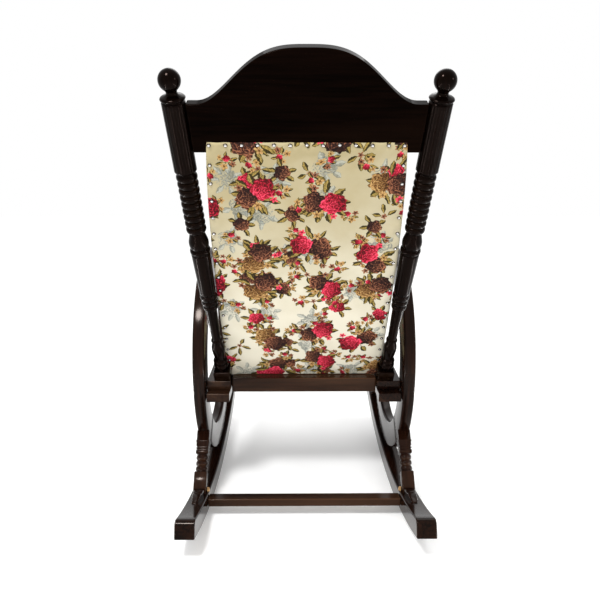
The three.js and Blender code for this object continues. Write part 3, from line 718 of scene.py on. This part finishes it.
def rocker(word):
    node = "rocker_" + word
    low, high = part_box(node)
    rear = math.asin((low.y - CONTACT.y) / ROCKER_RADIUS)
    front = math.asin((high.y - CONTACT.y) / ROCKER_RADIUS)
    top = ROCKER_RADIUS - ROCKER_HEIGHT
    nose = ROCKER_NOSE / top

    def run(radius, start, end, steps):
        return [under_centre(radius, start + (end - start) * i / steps) for i in range(steps + 1)]

    def corner(end, inward):
        points = []
        for t in [math.radians(15 * i) for i in range(6)]:
            across = end + inward * nose * (1 - math.cos(t))
            points.append(under_centre(top + ROCKER_NOSE * (1 - math.sin(t)), across))
        return points

    outline = run(ROCKER_RADIUS, rear, front, ROCKER_STEPS) + corner(front, -1)
    outline += run(top, front - nose, rear + nose, ROCKER_STEPS) + corner(rear, 1)[::-1]
    rings = [[Vector((x, y, z)) for y, z in outline] for x in (low.x, high.x)]
    return soften(make("smooth_" + node, *loft(rings)), BROAD_EDGE)


def hoop_nodes(word):
    return [f"arm_hoop_{part}_{word}" for part in ("front", "top", "rear", "bottom")]


def hoop(word):
    """One ring with a fine groove where its four boards meet."""
    low, high = local_box(hoop_nodes(word), LEVEL)
    middle = (low + high) / 2
    radius = (high.z - low.z - HOOP_SECTION) / 2
    half = (high.x - low.x) / 2
    slit = JOINT_DEPTH / radius
    span = FULL_TURN / HOOP_JOINTS
    rings = []
    for joint in range(HOOP_JOINTS):
        start = (joint - 0.5) * span
        steps = [0.0] + [slit + (span - 2 * slit) * i / HOOP_STEPS for i in range(HOOP_STEPS + 1)]
        for i, step in enumerate(steps):
            inset = JOINT_DEPTH if i == 0 else 0.0
            section = rounded_rectangle(half - inset, HOOP_SECTION / 2 - inset, HOOP_CORNER)
            out = Vector((0.0, math.cos(start + step), math.sin(start + step)))
            rings.append([Vector((u, 0.0, 0.0)) + (radius + v) * out for u, v in section])
    return make("arm_hoop_" + word, *loft(rings, closed=True), Matrix.Translation(middle))


def leg_section(half, corner, height, ripple=0.0):
    """A ring that may be square or round; a ripple lifts it at the middles of its sides."""
    ring = []
    for x, y in rounded_rectangle(half, half, corner):
        lift = ripple * math.cos(4 * math.atan2(y, x))
        ring.append(Vector((x, y, height + lift)))
    return ring


LEG_CORNER = 0.0028
NEARLY_ROUND = 0.98  # the beads' corner radius, as a share of their radius
NOTCHES = ((0.1065, 0.0027), (0.1135, 0.0027))  # height and depth of the carved wavy grooves
NOTCH_HALF = 0.0026
NOTCH_RIPPLE = 0.0016
COLLAR = (0.124, 0.130)  # a plain raised band under the hoop
COLLAR_PROUD = 0.0013


def leg_rings():
    low, high = NECK_SPAN
    shoulder = [(0.003, 0.0), (0.0008, 0.0018)]  # (away from the beads, inset)
    square = [(LEG_SPAN[0], 0.0)] + [(low - away, inset) for away, inset in shoulder]
    rings = [leg_section(LEG_HALF - inset, LEG_CORNER, height) for height, inset in square]
    pitch = (high - low) / NECK_BEADS
    for bead in range(NECK_BEADS):
        for i in range(BEAD_STEPS + 1):
            turn = i / BEAD_STEPS
            swell = math.sin(math.pi * turn) ** BEAD_FULLNESS
            radius = NECK_RADIUS + (NECK_BEAD_RADIUS - NECK_RADIUS) * swell
            rings.append(leg_section(radius, radius * NEARLY_ROUND, low + (bead + turn) * pitch))
    square = [(high + away, inset) for away, inset in reversed(shoulder)]
    rings += [leg_section(LEG_HALF - inset, LEG_CORNER, height) for height, inset in square]
    for height, depth in NOTCHES:
        for offset, inset in ((-NOTCH_HALF, 0.0), (0.0, depth), (NOTCH_HALF, 0.0)):
            rings.append(leg_section(LEG_HALF - inset, LEG_CORNER, height + offset, NOTCH_RIPPLE))
    start, end = COLLAR
    proud = COLLAR_PROUD
    for height, lift in ((start, 0.0), (start + proud, proud), (end - proud, proud), (end, 0.0)):
        rings.append(leg_section(LEG_HALF + lift, LEG_CORNER, height))
    rings.append(leg_section(LEG_HALF, LEG_CORNER, LEG_SPAN[1]))
    return rings


def leg_place(x, is_front):
    foot = Matrix.Translation(LEG_FOOT) @ Matrix.Rotation(-LEG_RAKE, 4, "X")
    if is_front:
        mirrored = Vector((LEG_FOOT.x, -LEG_FOOT.y, LEG_FOOT.z))
        foot = Matrix.Translation(mirrored) @ Matrix.Rotation(LEG_RAKE, 4, "X")
        centre = Matrix.Translation((0.0, 0.0, ROCKER_RADIUS))
        foot = centre @ Matrix.Rotation(LEG_SWING, 4, "X") @ centre.inverted() @ foot
    return Matrix.Translation(CONTACT + Vector((x, 0.0, 0.0))) @ foot


TOE_STEPS = 24
TOE_CARVING = 0.0019
TOE_RIDGES = 4
CARVED_SHARE = 0.75  # of the length; the rest is plain
TIP_FROM, TIP_NARROWING = 0.9, 0.75
FALL_FROM = 0.55
TOE_PROUD = 0.0006
TOE_SUNK = 0.006
TOE_CORNER = 0.0028


def toe_rings():
    """A low tongue on the rocker, with a few carved steps across it, narrowing to a blunt tip."""
    rings = []
    for i in range(TOE_STEPS + 1):
        along = i / TOE_STEPS
        y = TOE_SPAN[0] + (TOE_SPAN[1] - TOE_SPAN[0]) * along
        half = TOE_HALVES[0] + (TOE_HALVES[1] - TOE_HALVES[0]) * along ** 1.3
        tip = max(0.0, (along - TIP_FROM) / (1 - TIP_FROM))
        half *= math.sqrt(1 - TIP_NARROWING * tip ** 2)
        ground = ROCKER_RADIUS - math.sqrt((ROCKER_RADIUS - ROCKER_HEIGHT) ** 2 - y ** 2)
        carved = 0.0
        if along < CARVED_SHARE:
            carved = TOE_CARVING * max(0.0, math.sin(along * TOE_RIDGES * FULL_TURN))
        fall = max(0.0, (along - FALL_FROM) / (1 - FALL_FROM))
        rise = TOE_RISE * (1 - fall ** 2) + TOE_PROUD - carved
        bottom = ground - TOE_SUNK
        middle = (ground + rise + bottom) / 2
        section = rounded_rectangle(half, (ground + rise - bottom) / 2, TOE_CORNER)
        rings.append([Vector((u, y, middle + v)) for u, v in section])
    return rings


def wedge(word):
    """A small glue block beside the rear leg's foot."""
    node = "leg_wedge_" + word
    low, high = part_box(node)
    side = [(low.y, low.z), (high.y, low.z), (low.y, high.z)]
    rings = [[Vector((x, y, z)) for y, z in side] for x in (low.x, high.x)]
    return soften(make("smooth_" + node, *loft(rings)), 0.001, 2)


# ---- posts and crest -----------------------------------------------------------------------

def bead_rows(start, end, radius, neck, steps=BEAD_STEPS):
    """Heights and radii of one half-round bead."""
    rows = []
    for i in range(steps + 1):
        turn = i / steps
        swell = math.sin(math.pi * turn) ** BEAD_FULLNESS
        rows.append((start + (end - start) * turn, neck + (radius - neck) * swell))
    return rows


def curve_rows(points, steps=6):
    """A smooth line through heights and radii."""
    rows = []
    for i in range(len(points) - 1):
        before = points[max(i - 1, 0)]
        start, end = points[i], points[i + 1]
        after = points[min(i + 2, len(points) - 1)]
        for k in range(steps):
            t = k / steps
            row = [0.5 * (2 * start[j] + (end[j] - before[j]) * t
                          + (2 * before[j] - 5 * start[j] + 4 * end[j] - after[j]) * t * t
                          + (3 * start[j] - before[j] - 3 * end[j] + after[j]) * t ** 3) for j in (0, 1)]
            rows.append(tuple(row))
    rows.append(points[-1])
    return rows


# The turned outline of a post from the plinth up: rounded beads as (start, end, radius, neck),
# smooth stretches between them as lists of (height, radius).
LOWER_TURNING = (
    (0.044, 0.060, 0.0195, 0.0168),
    (0.060, 0.073, 0.0185, 0.0150),
    [(0.0735, 0.0135), (0.080, 0.0138), (0.098, 0.0160), (0.116, 0.0166), (0.134, 0.0120)],
    (0.135, 0.145, 0.0146, 0.0118),
    [(0.146, 0.0113), (0.175, 0.0121), (0.215, 0.0134), (0.2485, 0.0144)],
    (0.249, 0.264, 0.0185, 0.0158),
    (0.264, 0.280, 0.0195, 0.0166),
    (0.280, 0.298, 0.0205, 0.0180),
    [(0.2985, 0.0192), (0.340, 0.0203), (0.380, 0.0212), (0.4165, 0.0218)],
    (0.417, 0.430, 0.0232, 0.0205),
    [(0.431, 0.0196), (0.437, 0.0218), (0.448, 0.0222), (0.461, 0.0192), (0.473, 0.0160)],
)
REED_STEP = REED_RADIUS - 0.0012
REED_EDGE = [(-0.004, BEAD_NECK), (0.0, REED_STEP), (0.0012, REED_RADIUS), (0.004, REED_RADIUS)]
CAP_EDGE = [(-0.004, REED_RADIUS), (-0.001, REED_RADIUS), (0.0, REED_RADIUS - 0.001), (0.002, 0.0190)]
CAP_BEAD = (0.0025, 0.0105, 0.0247, 0.0200)
POST_START = (PLINTH_TOP - 0.002, 0.0168)
BALL_NECK = [(0.777, 0.0180), (0.780, 0.0120), (0.784, 0.0105)]
BALL_TURNS = [math.radians(4 * i) for i in range(-14, 23)]


def post_rows():
    """Heights and radii of a post from the plinth to the top of its ball."""
    rows = []
    for stretch in LOWER_TURNING:
        rows += curve_rows(stretch) if isinstance(stretch, list) else bead_rows(*stretch)
    for bead in range(BEAD_COUNT):
        start = BEAD_BOTTOM + bead * BEAD_PITCH
        rows += bead_rows(start, start + BEAD_PITCH, BEAD_RADIUS, BEAD_NECK)
    low, high = REED_SPAN
    rows += [(low + rise, radius) for rise, radius in REED_EDGE]
    rows += [(high + rise, radius) for rise, radius in CAP_EDGE]
    start, end, radius, neck = CAP_BEAD
    rows += bead_rows(high + start, high + end, radius, neck)
    rows += curve_rows(BALL_NECK)
    rows += [(POST_HEIGHT + BALL_RADIUS * math.sin(t), BALL_RADIUS * math.cos(t)) for t in BALL_TURNS]
    return rows


def reeded(radius, height, angle):
    """Narrow grooves between half-round reeds, on the straight stretch below the ball only."""
    if not REED_SPAN[0] + 0.003 < height < REED_SPAN[1] - 0.003:
        return radius
    groove = (1 - abs(math.sin(angle * REED_COUNT / 2))) ** 2
    return radius - REED_DEPTH * groove


def post_place(side):
    splay = math.atan((POST_TOP_X - POST_FOOT_X) / POST_HEIGHT)
    foot = Matrix.Translation((side * POST_FOOT_X, 0.0, 0.0))
    return BACK_FRAME @ foot @ Matrix.Rotation(side * splay, 4, "Y")


def seat_cut(place, node):
    """A function that gives the height of the seat rail's top face at a place in a post's frame."""
    top = local_box([node], SEAT_FRAME)[0].z
    seen = SEAT_FRAME.inverted() @ place
    normal, offset = Vector(seen[2][:3]), seen[2][3]
    return lambda x, y: (top - offset - normal.x * x - normal.y * y) / normal.z


PLINTH_CORNER = 0.0022
PLINTH_ROUNDING = ((0.003, 0.0), (0.0008, 0.001), (0.0, 0.003))  # (below the top, inset)


def plinth(word, side):
    node = "back_post_" + word
    place = post_place(side)
    cut = seat_cut(place, node)
    section = rounded_rectangle(PLINTH_HALF, PLINTH_HALF, PLINTH_CORNER)
    rings = [[Vector((x, y, cut(x, y))) for x, y in section]]
    for below, inset in PLINTH_ROUNDING:
        section = rounded_rectangle(PLINTH_HALF - inset, PLINTH_HALF - inset, PLINTH_CORNER)
        rings.append([Vector((x, y, PLINTH_TOP - below)) for x, y in section])
    return make("post_plinth_" + word, *loft(rings), place)


def post(word, side):
    rings = []
    for height, radius in [POST_START] + post_rows():
        ring = []
        for turn in whole_turn(POST_SIDES):
            reach = reeded(radius, height, turn)
            ring.append(Vector((reach * math.cos(turn), reach * math.sin(turn), height)))
        rings.append(ring)
    return make("turned_post_" + word, *loft(rings), post_place(side))


def crest():
    low, high = local_box(["crest_rail"], BACK_FRAME)

    def end(height):
        """The crest's ends follow the splay of the posts."""
        return high.x - (POST_TOP_X - POST_FOOT_X) * (CREST_SHOULDER - height) / POST_HEIGHT

    outline = [(end(CREST_BOTTOM), CREST_BOTTOM), (end(CREST_SHOULDER), CREST_SHOULDER)]
    for i in range(CREST_STEPS + 1):
        x = CREST_REACH * (1 - 2 * i / CREST_STEPS)
        fall = math.pi / 2 * (abs(x) / CREST_REACH) ** CREST_POWER
        outline.append((x, CREST_SHOULDER + (CREST_TOP - CREST_SHOULDER) * math.cos(fall) ** 2))
    outline += [(-end(CREST_SHOULDER), CREST_SHOULDER), (-end(CREST_BOTTOM), CREST_BOTTOM)]
    rings = [[Vector((x, y, z)) for x, z in outline] for y in (high.y, low.y)]
    return soften(make("smooth_crest_rail", *loft(rings), BACK_FRAME), BROAD_EDGE)


# ---- rear cover and its nails --------------------------------------------------------------

def cover_shape():
    """Lowest and highest corners of the rear cover in the panel's frame, and its half width on top."""
    low, high = local_box(["back_rear_cover"], PANEL_FRAME)
    inward = PANEL_FRAME.inverted()
    points = [inward @ v.co for v in frame["nodes"]["back_rear_cover"].data.vertices]
    return low, high, max(p.x for p in points if p.z > high.z - PANEL_LAP)


COVER_LOW, COVER_HIGH, COVER_TOP_HALF = cover_shape()
COVER_HEIGHT = COVER_HIGH.z - COVER_LOW.z


def panel_half(z):
    """Half width of the panel at a height in its own frame; the sides bow outwards."""
    share = min(max((COVER_HIGH.z - z) / COVER_HEIGHT, 0.0), 1.0)
    straight = COVER_TOP_HALF + (COVER_HIGH.x - FOOT_DRAWN_IN - COVER_TOP_HALF) * share
    return straight + PANEL_BOW * math.sin(math.pi * share ** BOW_HIGH)


def nail_places():
    """Where the nails sit, as (x, z) in the panel's frame."""
    top_row = COVER_HIGH.z - NAIL_INSETS[0]

    def nail_line(z):
        share = min((top_row - z) / NAIL_INSET_RUN, 1.0)
        return panel_half(z) - NAIL_INSETS[0] - (NAIL_INSETS[1] - NAIL_INSETS[0]) * share

    half = nail_line(top_row)
    places = [(half * (2 * i / (TOP_NAILS - 1) - 1), top_row) for i in range(TOP_NAILS)]
    first = top_row - SIDE_NAIL_SPAN[0]
    last = COVER_LOW.z + SIDE_NAIL_SPAN[1]
    for side in (-1, 1):
        for i in range(SIDE_NAILS):
            z = first + (last - first) * i / (SIDE_NAILS - 1)
            places.append((side * nail_line(z), z))
    chance = random.Random(SEED)

    def placed(aim):
        return aim + chance.uniform(-NAIL_WANDER, NAIL_WANDER)

    return [(placed(x), placed(z)) for x, z in places]


COVER_COLUMNS = 150
COVER_ROWS = 260
COVER_DEPTH = 0.0013  # middle of the cover's thickness
NEAR_NAIL = 0.03  # nails further away than this leave no mark
DIMPLE_DEPTH, DIMPLE_RADIUS = 0.0011, 0.0065
PUCKER_RISE, PUCKER_REACH = 0.0020, 0.020
PUCKER_INSET, PUCKER_WIDTH = 0.010, 0.014
SLACK, SLACK_RUN = 0.0019, 0.03
HEM_RISE, HEM_WIDTH = 0.0016, 0.004
EDGE_TURN, EDGE_WIDTH = 0.0022, 0.0014


def bell(distance, width):
    """1 in the middle, falling off smoothly over a width."""
    return math.exp(-(distance / width) ** 2)


def cover_depth(x, z, half, nails):
    """How far the cover stands from the panel's frame: dimples, puckers and slack."""
    edge = min(half - abs(x), COVER_HIGH.z - z)
    near = min((math.hypot(x - u, z - v) for u, v in nails), default=1.0)
    dimple = DIMPLE_DEPTH * bell(near, DIMPLE_RADIUS)
    between_nails = min(near / PUCKER_REACH, 1.0)
    pucker = PUCKER_RISE * between_nails * bell(edge - PUCKER_INSET, PUCKER_WIDTH)
    broad = noise.noise(Vector((x * 9, z * 7, 0.3)))
    creases = noise.noise(Vector((x * 5, z * 26, 7.1)))
    slack = SLACK * (broad + 0.5 * creases) * min(edge / SLACK_RUN, 1.0)
    hem = HEM_RISE * bell(z - COVER_LOW.z, HEM_WIDTH)
    turned_in = EDGE_TURN * bell(edge, EDGE_WIDTH)
    return -COVER_DEPTH + dimple - pucker + slack - hem + turned_in


def rear_cover(nails):
    points, uvs = [], []
    for row in range(COVER_ROWS + 1):
        z = COVER_LOW.z + COVER_HEIGHT * row / COVER_ROWS
        half = panel_half(z)
        close = [(u, v) for u, v in nails if abs(v - z) < NEAR_NAIL]
        for column in range(COVER_COLUMNS + 1):
            x = half * (2 * column / COVER_COLUMNS - 1)
            points.append(Vector((x, cover_depth(x, z, half, close), z)))
            uvs.append((x, z))
    faces = []
    width = COVER_COLUMNS + 1
    for row in range(COVER_ROWS):
        for column in range(COVER_COLUMNS):
            a = row * width + column
            faces.append((a, a + 1, a + 1 + width, a + width))
    cover = make("stretched_rear_cover", points, faces, PANEL_FRAME)
    layer = cover.data.uv_layers.new(name="cloth")
    for loop in cover.data.loops:
        layer.data[loop.index].uv = uvs[loop.vertex_index]
    return cover


NAIL_PROFILE = ((1.0, 0.0), (1.04, 0.14), (0.97, 0.34), (0.81, 0.55), (0.56, 0.72), (0.28, 0.81))
NAIL_SIDES = 20
NAIL_SUNK = 0.0006


def nail_heads(nails):
    points, faces = [], []
    turns = whole_turn(NAIL_SIDES)
    for x, z in nails:
        base = len(points)
        rings = []
        for reach, rise in NAIL_PROFILE:
            radius = NAIL_RADIUS * reach
            depth = NAIL_SUNK - COVER_DEPTH - NAIL_RADIUS * rise
            ring = [(x + radius * math.cos(t), depth, z + radius * math.sin(t)) for t in turns]
            rings.append([Vector(point) for point in ring])
        ring_points, ring_faces = loft(rings)
        points += ring_points
        faces += [tuple(base + i for i in face) for face in ring_faces]
    heads = make("upholstery_nails", points, faces, PANEL_FRAME)
    reaches = [reach for reach, _ in NAIL_PROFILE for _ in range(NAIL_SIDES)] * len(nails)
    heads.data.attributes.new(NAIL_REACH, "FLOAT", "POINT").data.foreach_set("value", reaches)
    return heads


# ---- pad and cushion -----------------------------------------------------------------------

VOXEL = 0.006
PRESSURE = 4.0
CLOTH_QUALITY = 5
TENSION = 12.0
BENDING = 0.3
LAST_FRAME = 20
SHRINK = 0.005  # the pads start this much smaller all round, because they swell
PIPING_RADIUS = 0.0032
PIPING_PROUD = 0.3  # of its radius, where a cord's middle lies outside the cloth
FACE_SHIFT = 0.7  # moves the print between faces that look different ways


def stuffed_shape(name, outline, spread, levels, place):
    """A closed form: spread(u, v, level) puts the outline's points at each level."""
    rings = [[spread(u, v, level) for u, v in outline] for level in levels]
    shell = make(name, *loft(rings), place)
    remesh = shell.modifiers.new("even_mesh", "REMESH")
    remesh.mode = "VOXEL"
    remesh.voxel_size = VOXEL
    seen = shell.evaluated_get(bpy.context.evaluated_depsgraph_get())
    shell.data = bpy.data.meshes.new_from_object(seen)
    shell.modifiers.clear()
    for polygon in shell.data.polygons:
        polygon.use_smooth = True
    return shell


def blow_up(shell, most):
    """The cloth solver fills the form; no point moves further than most."""
    cloth = shell.modifiers.new("stuffing", "CLOTH")
    cloth.settings.use_pressure = True
    cloth.settings.uniform_pressure_force = PRESSURE
    cloth.settings.effector_weights.gravity = 0.0
    cloth.settings.quality = CLOTH_QUALITY
    cloth.settings.tension_stiffness = TENSION
    cloth.settings.bending_stiffness = BENDING
    cloth.point_cache.frame_end = LAST_FRAME
    for number in range(1, LAST_FRAME + 1):
        bpy.context.scene.frame_set(number)
    seen = shell.evaluated_get(bpy.context.evaluated_depsgraph_get())
    ends = [v.co.copy() for v in seen.data.vertices]
    shell.modifiers.remove(cloth)
    bpy.context.scene.frame_set(1)
    for vertex, end in zip(shell.data.vertices, ends):
        move = end - vertex.co
        vertex.co += move * min(1.0, most / max(move.length, 1e-9))


def keep_clear(shell, axis, lowest):
    """The underside lies flat on what carries it."""
    for vertex in shell.data.vertices:
        vertex.co[axis] = max(vertex.co[axis], lowest)


def piped_edge(name, shell, path):
    """A cord laid on the shell along a seam line."""
    laid = []
    for point in path:
        _, place, normal, _ = shell.closest_point_on_mesh(point)
        laid.append(place + normal * (PIPING_PROUD * PIPING_RADIUS))
    return cord(name, laid, PIPING_RADIUS, shell.matrix_world)


def dress(piece):
    """Cloth coordinates in metres on every face, by the way that the face looks."""
    layer = piece.data.uv_layers.new(name="cloth")
    for face in piece.data.polygons:
        axis = max(range(3), key=lambda i: abs(face.normal[i]))
        u, v = ((1, 2), (0, 2), (0, 1))[axis]
        for index in face.loop_indices:
            co = piece.data.vertices[piece.data.loops[index].vertex_index].co
            layer.data[index].uv = (co[u] + FACE_SHIFT * axis, co[v])


CUSHION_CORNER = 0.045
CUSHION_RISE = 0.014  # how far the filling may push the cushion's cover
PAD_CORNER = 0.016
PAD_RISE = 0.010
UNDERSIDE_GAP = 0.0004
OUTLINE_STEP = 0.012


def soft_piece(node, place, axis, outline, spread, levels, most, seams):
    """Builds, fills, pipes and finishes one pad; seams are levels that carry a cord."""
    low = local_box([node], place)[0]
    shell = stuffed_shape("soft_" + node, outline, spread, levels, place)
    blow_up(shell, most)
    keep_clear(shell, axis, low[axis] + UNDERSIDE_GAP)
    bpy.context.view_layer.update()
    for i, level in enumerate(seams):
        path = [spread(u, v, level) for u, v in outline]
        piping = piped_edge(f"{node}_piping_{i}", shell, path)
        dress(piping)
        finish_piece(piping, COTTON)
    shell.modifiers.new("smooth", "SUBSURF").levels = 1
    dress(shell)
    finish_piece(shell, COTTON, [node])


def resampled(outline, step):
    """The same closed outline with points at an even spacing."""
    points = []
    for i, (u, v) in enumerate(outline):
        x, y = outline[(i + 1) % len(outline)]
        length = math.hypot(x - u, y - v)
        count = max(1, round(length / step))
        points += [(u + (x - u) * k / count, v + (y - v) * k / count) for k in range(count)]
    return points


def seat_cushion():
    low, high = local_box(["seat_cushion"], SEAT_FRAME)
    middle, half = (low + high) / 2, (high - low) / 2
    outline = rounded_rectangle(half.x - SHRINK, half.y - SHRINK, CUSHION_CORNER, 8)
    outline = resampled(outline, OUTLINE_STEP)

    def spread(u, v, level):
        return Vector((middle.x + u, middle.y + v, low.z + level * (high.z - low.z)))

    levels, seams = (0.0, 0.25, 0.5, 0.78), (0.1, 0.74)
    soft_piece("seat_cushion", SEAT_FRAME, 2, outline, spread, levels, CUSHION_RISE, seams)


def back_pad():
    low, high = local_box(["back_pad"], PANEL_FRAME)
    half = (high - low) / 2
    outline = resampled(rounded_rectangle(half.x, half.z - SHRINK, PAD_CORNER, 6), OUTLINE_STEP)

    def spread(u, v, level):
        z = (low.z + high.z) / 2 + v
        return Vector((u * (panel_half(z) - SHRINK) / half.x, low.y + level * (high.y - low.y), z))

    levels, seams = (0.0, 0.35, 0.72), (0.68,)
    soft_piece("back_pad", PANEL_FRAME, 1, outline, spread, levels, PAD_RISE, seams)


# ---- build ---------------------------------------------------------------------------------

LACQUERS = {along: base_lacquer(along) for along in ("X", "Y", "Z", "ring")}
POST_LACQUER = back_lacquer("Z", POST_SHINE)
CREST_LACQUER = back_lacquer("X", CREST_SHINE)
METAL = bright_metal()
BARE = bare_wood()
COTTON = floral_cotton()

for word, side in SIDES:
    finish_piece(rocker(word), LACQUERS["Y"], ["rocker_" + word])
    ring = finish_piece(hoop(word), LACQUERS["ring"], hoop_nodes(word))
    for end in ("rear", "front"):
        middle_x = ring.matrix_world.translation.x
        shape = make(f"smooth_{end}_leg_{word}", *loft(leg_rings()), leg_place(middle_x, end == "front"))
        finish_piece(shape, LACQUERS["Z"], [f"{end}_leg_{word}"])
    toe_place = Matrix.Translation(CONTACT + Vector((middle_x, 0.0, 0.0)))
    toe = make("rear_toe_" + word, *loft(toe_rings()), toe_place)
    finish_piece(toe, LACQUERS["Y"])
    finish_piece(wedge(word), BARE, ["leg_wedge_" + word])
    for node in ("seat_side_rail_", "seat_cleat_"):
        finish_piece(board(node + word, SEAT_FRAME), LACQUERS["Y"], [node + word])
    finish_piece(plinth(word, side), POST_LACQUER)
    finish_piece(post(word, side), POST_LACQUER, ["back_post_" + word])

stretcher = board("rear_stretcher", LEVEL, BROAD_EDGE)
finish_piece(stretcher, LACQUERS["X"], ["rear_stretcher"])
for node in ("seat_rear_rail", "seat_front_rail"):
    finish_piece(board(node, SEAT_FRAME, BROAD_EDGE), LACQUERS["X"], [node])
finish_piece(board("seat_board", SEAT_FRAME, FINE_EDGE), LACQUERS["X"], ["seat_board"])
finish_piece(crest(), CREST_LACQUER, ["crest_rail"])

nails = nail_places()
cover = finish_piece(rear_cover(nails), COTTON, ["back_rear_cover"])
finish_piece(nail_heads(nails), nail_metal())

seat_cushion()
back_pad()

for name, node in frame["nodes"].items():
    if "dowel" in name or "backing" in name:
        material = BARE
    elif "bolt" in name or "screw" in name:
        material = METAL
    else:
        material = LACQUERS["Z"]
    for slot in node.material_slots:
        slot.material = material

# ---- floor, light and camera ---------------------------------------------------------------

WHITE = (1.0, 1.0, 1.0, 1.0)
FLOOR_HALF = 30.0
FLOOR_WHITE = (0.95, 0.95, 0.945, 1.0)
FLOOR_GLOW = 0.14
WORLD_STRENGTH = 1.0
SOFT_LIGHTS = (  # name, place, what it looks at, size and watts
    ("key", (-0.60, -1.42, 1.97), (0.0, -0.2, 0.6), 0.42, 38.0),
    ("fill", (2.4, -1.6, 1.4), (0.0, 0.0, 0.5), 0.5, 12.0),
    ("top", (0.2, 1.4, 2.8), (0.0, 0.0, 0.3), 2.0, 24.0),
)
STRIP_SIZE = (0.012, 1.9)
STRIP_WATTS = 6.0
STRIP_PLACE = (0.85, -0.35, 0.04)
STRIP_LEAN = math.radians(50)
CAMERA_PLACE = Vector((-0.0239, -1.6511, 0.8194))
CAMERA_TURN = (math.radians(80.53), 0.0, math.radians(-0.49))
CAMERA_LENS = 35.4


def floor():
    corners = [(-1, -1), (1, -1), (1, 1), (-1, 1)]
    points = [Vector((FLOOR_HALF * x, FLOOR_HALF * y, 0.0)) for x, y in corners]
    sheet = make("studio_floor", points, [(0, 1, 2, 3)])
    graph = Graph("studio_floor")
    graph.set(Base_Color=FLOOR_WHITE, Roughness=0.9, Specular_IOR_Level=0.0)
    graph.set(Emission_Color=WHITE, Emission_Strength=FLOOR_GLOW)
    sheet.data.materials.append(graph.material)


def area_light(name, shape, place, watts):
    lamp = bpy.data.lights.new(name, "AREA")
    lamp.shape = shape
    lamp.energy = watts
    holder = bpy.data.objects.new(name, lamp)
    bpy.context.scene.collection.objects.link(holder)
    holder.location = place
    return holder


def soft_light(name, place, aim, size, watts):
    holder = area_light(name, "DISK", place, watts)
    holder.data.size = size
    holder.rotation_euler = (Vector(aim) - Vector(place)).to_track_quat("-Z", "Y").to_euler()


def floor_strip(name, side):
    """A thin bright line on the floor, which draws the long highlights on the leaning posts."""
    out, back, up = STRIP_PLACE
    holder = area_light(name, "RECTANGLE", (side * out, back, up), STRIP_WATTS)
    holder.data.size, holder.data.size_y = STRIP_SIZE
    holder.rotation_euler = (0.0, math.pi - side * STRIP_LEAN, 0.0)
    holder.visible_camera = False


def studio():
    world = bpy.data.worlds.new("studio")
    world.use_nodes = True
    background = world.node_tree.nodes["Background"].inputs
    background["Color"].default_value = WHITE
    background["Strength"].default_value = WORLD_STRENGTH
    bpy.context.scene.world = world
    bpy.context.scene.view_settings.view_transform = "Standard"
    for light in SOFT_LIGHTS:
        soft_light(*light)
    floor_strip("left_strip", -1)
    floor_strip("right_strip", 1)


def photograph_camera():
    lens = bpy.data.cameras.new("photograph")
    lens.lens = CAMERA_LENS
    holder = bpy.data.objects.new("photograph", lens)
    bpy.context.scene.collection.objects.link(holder)
    holder.location = CAMERA_PLACE
    holder.rotation_euler = CAMERA_TURN
    bpy.context.scene.camera = holder


floor()
studio()
photograph_camera()
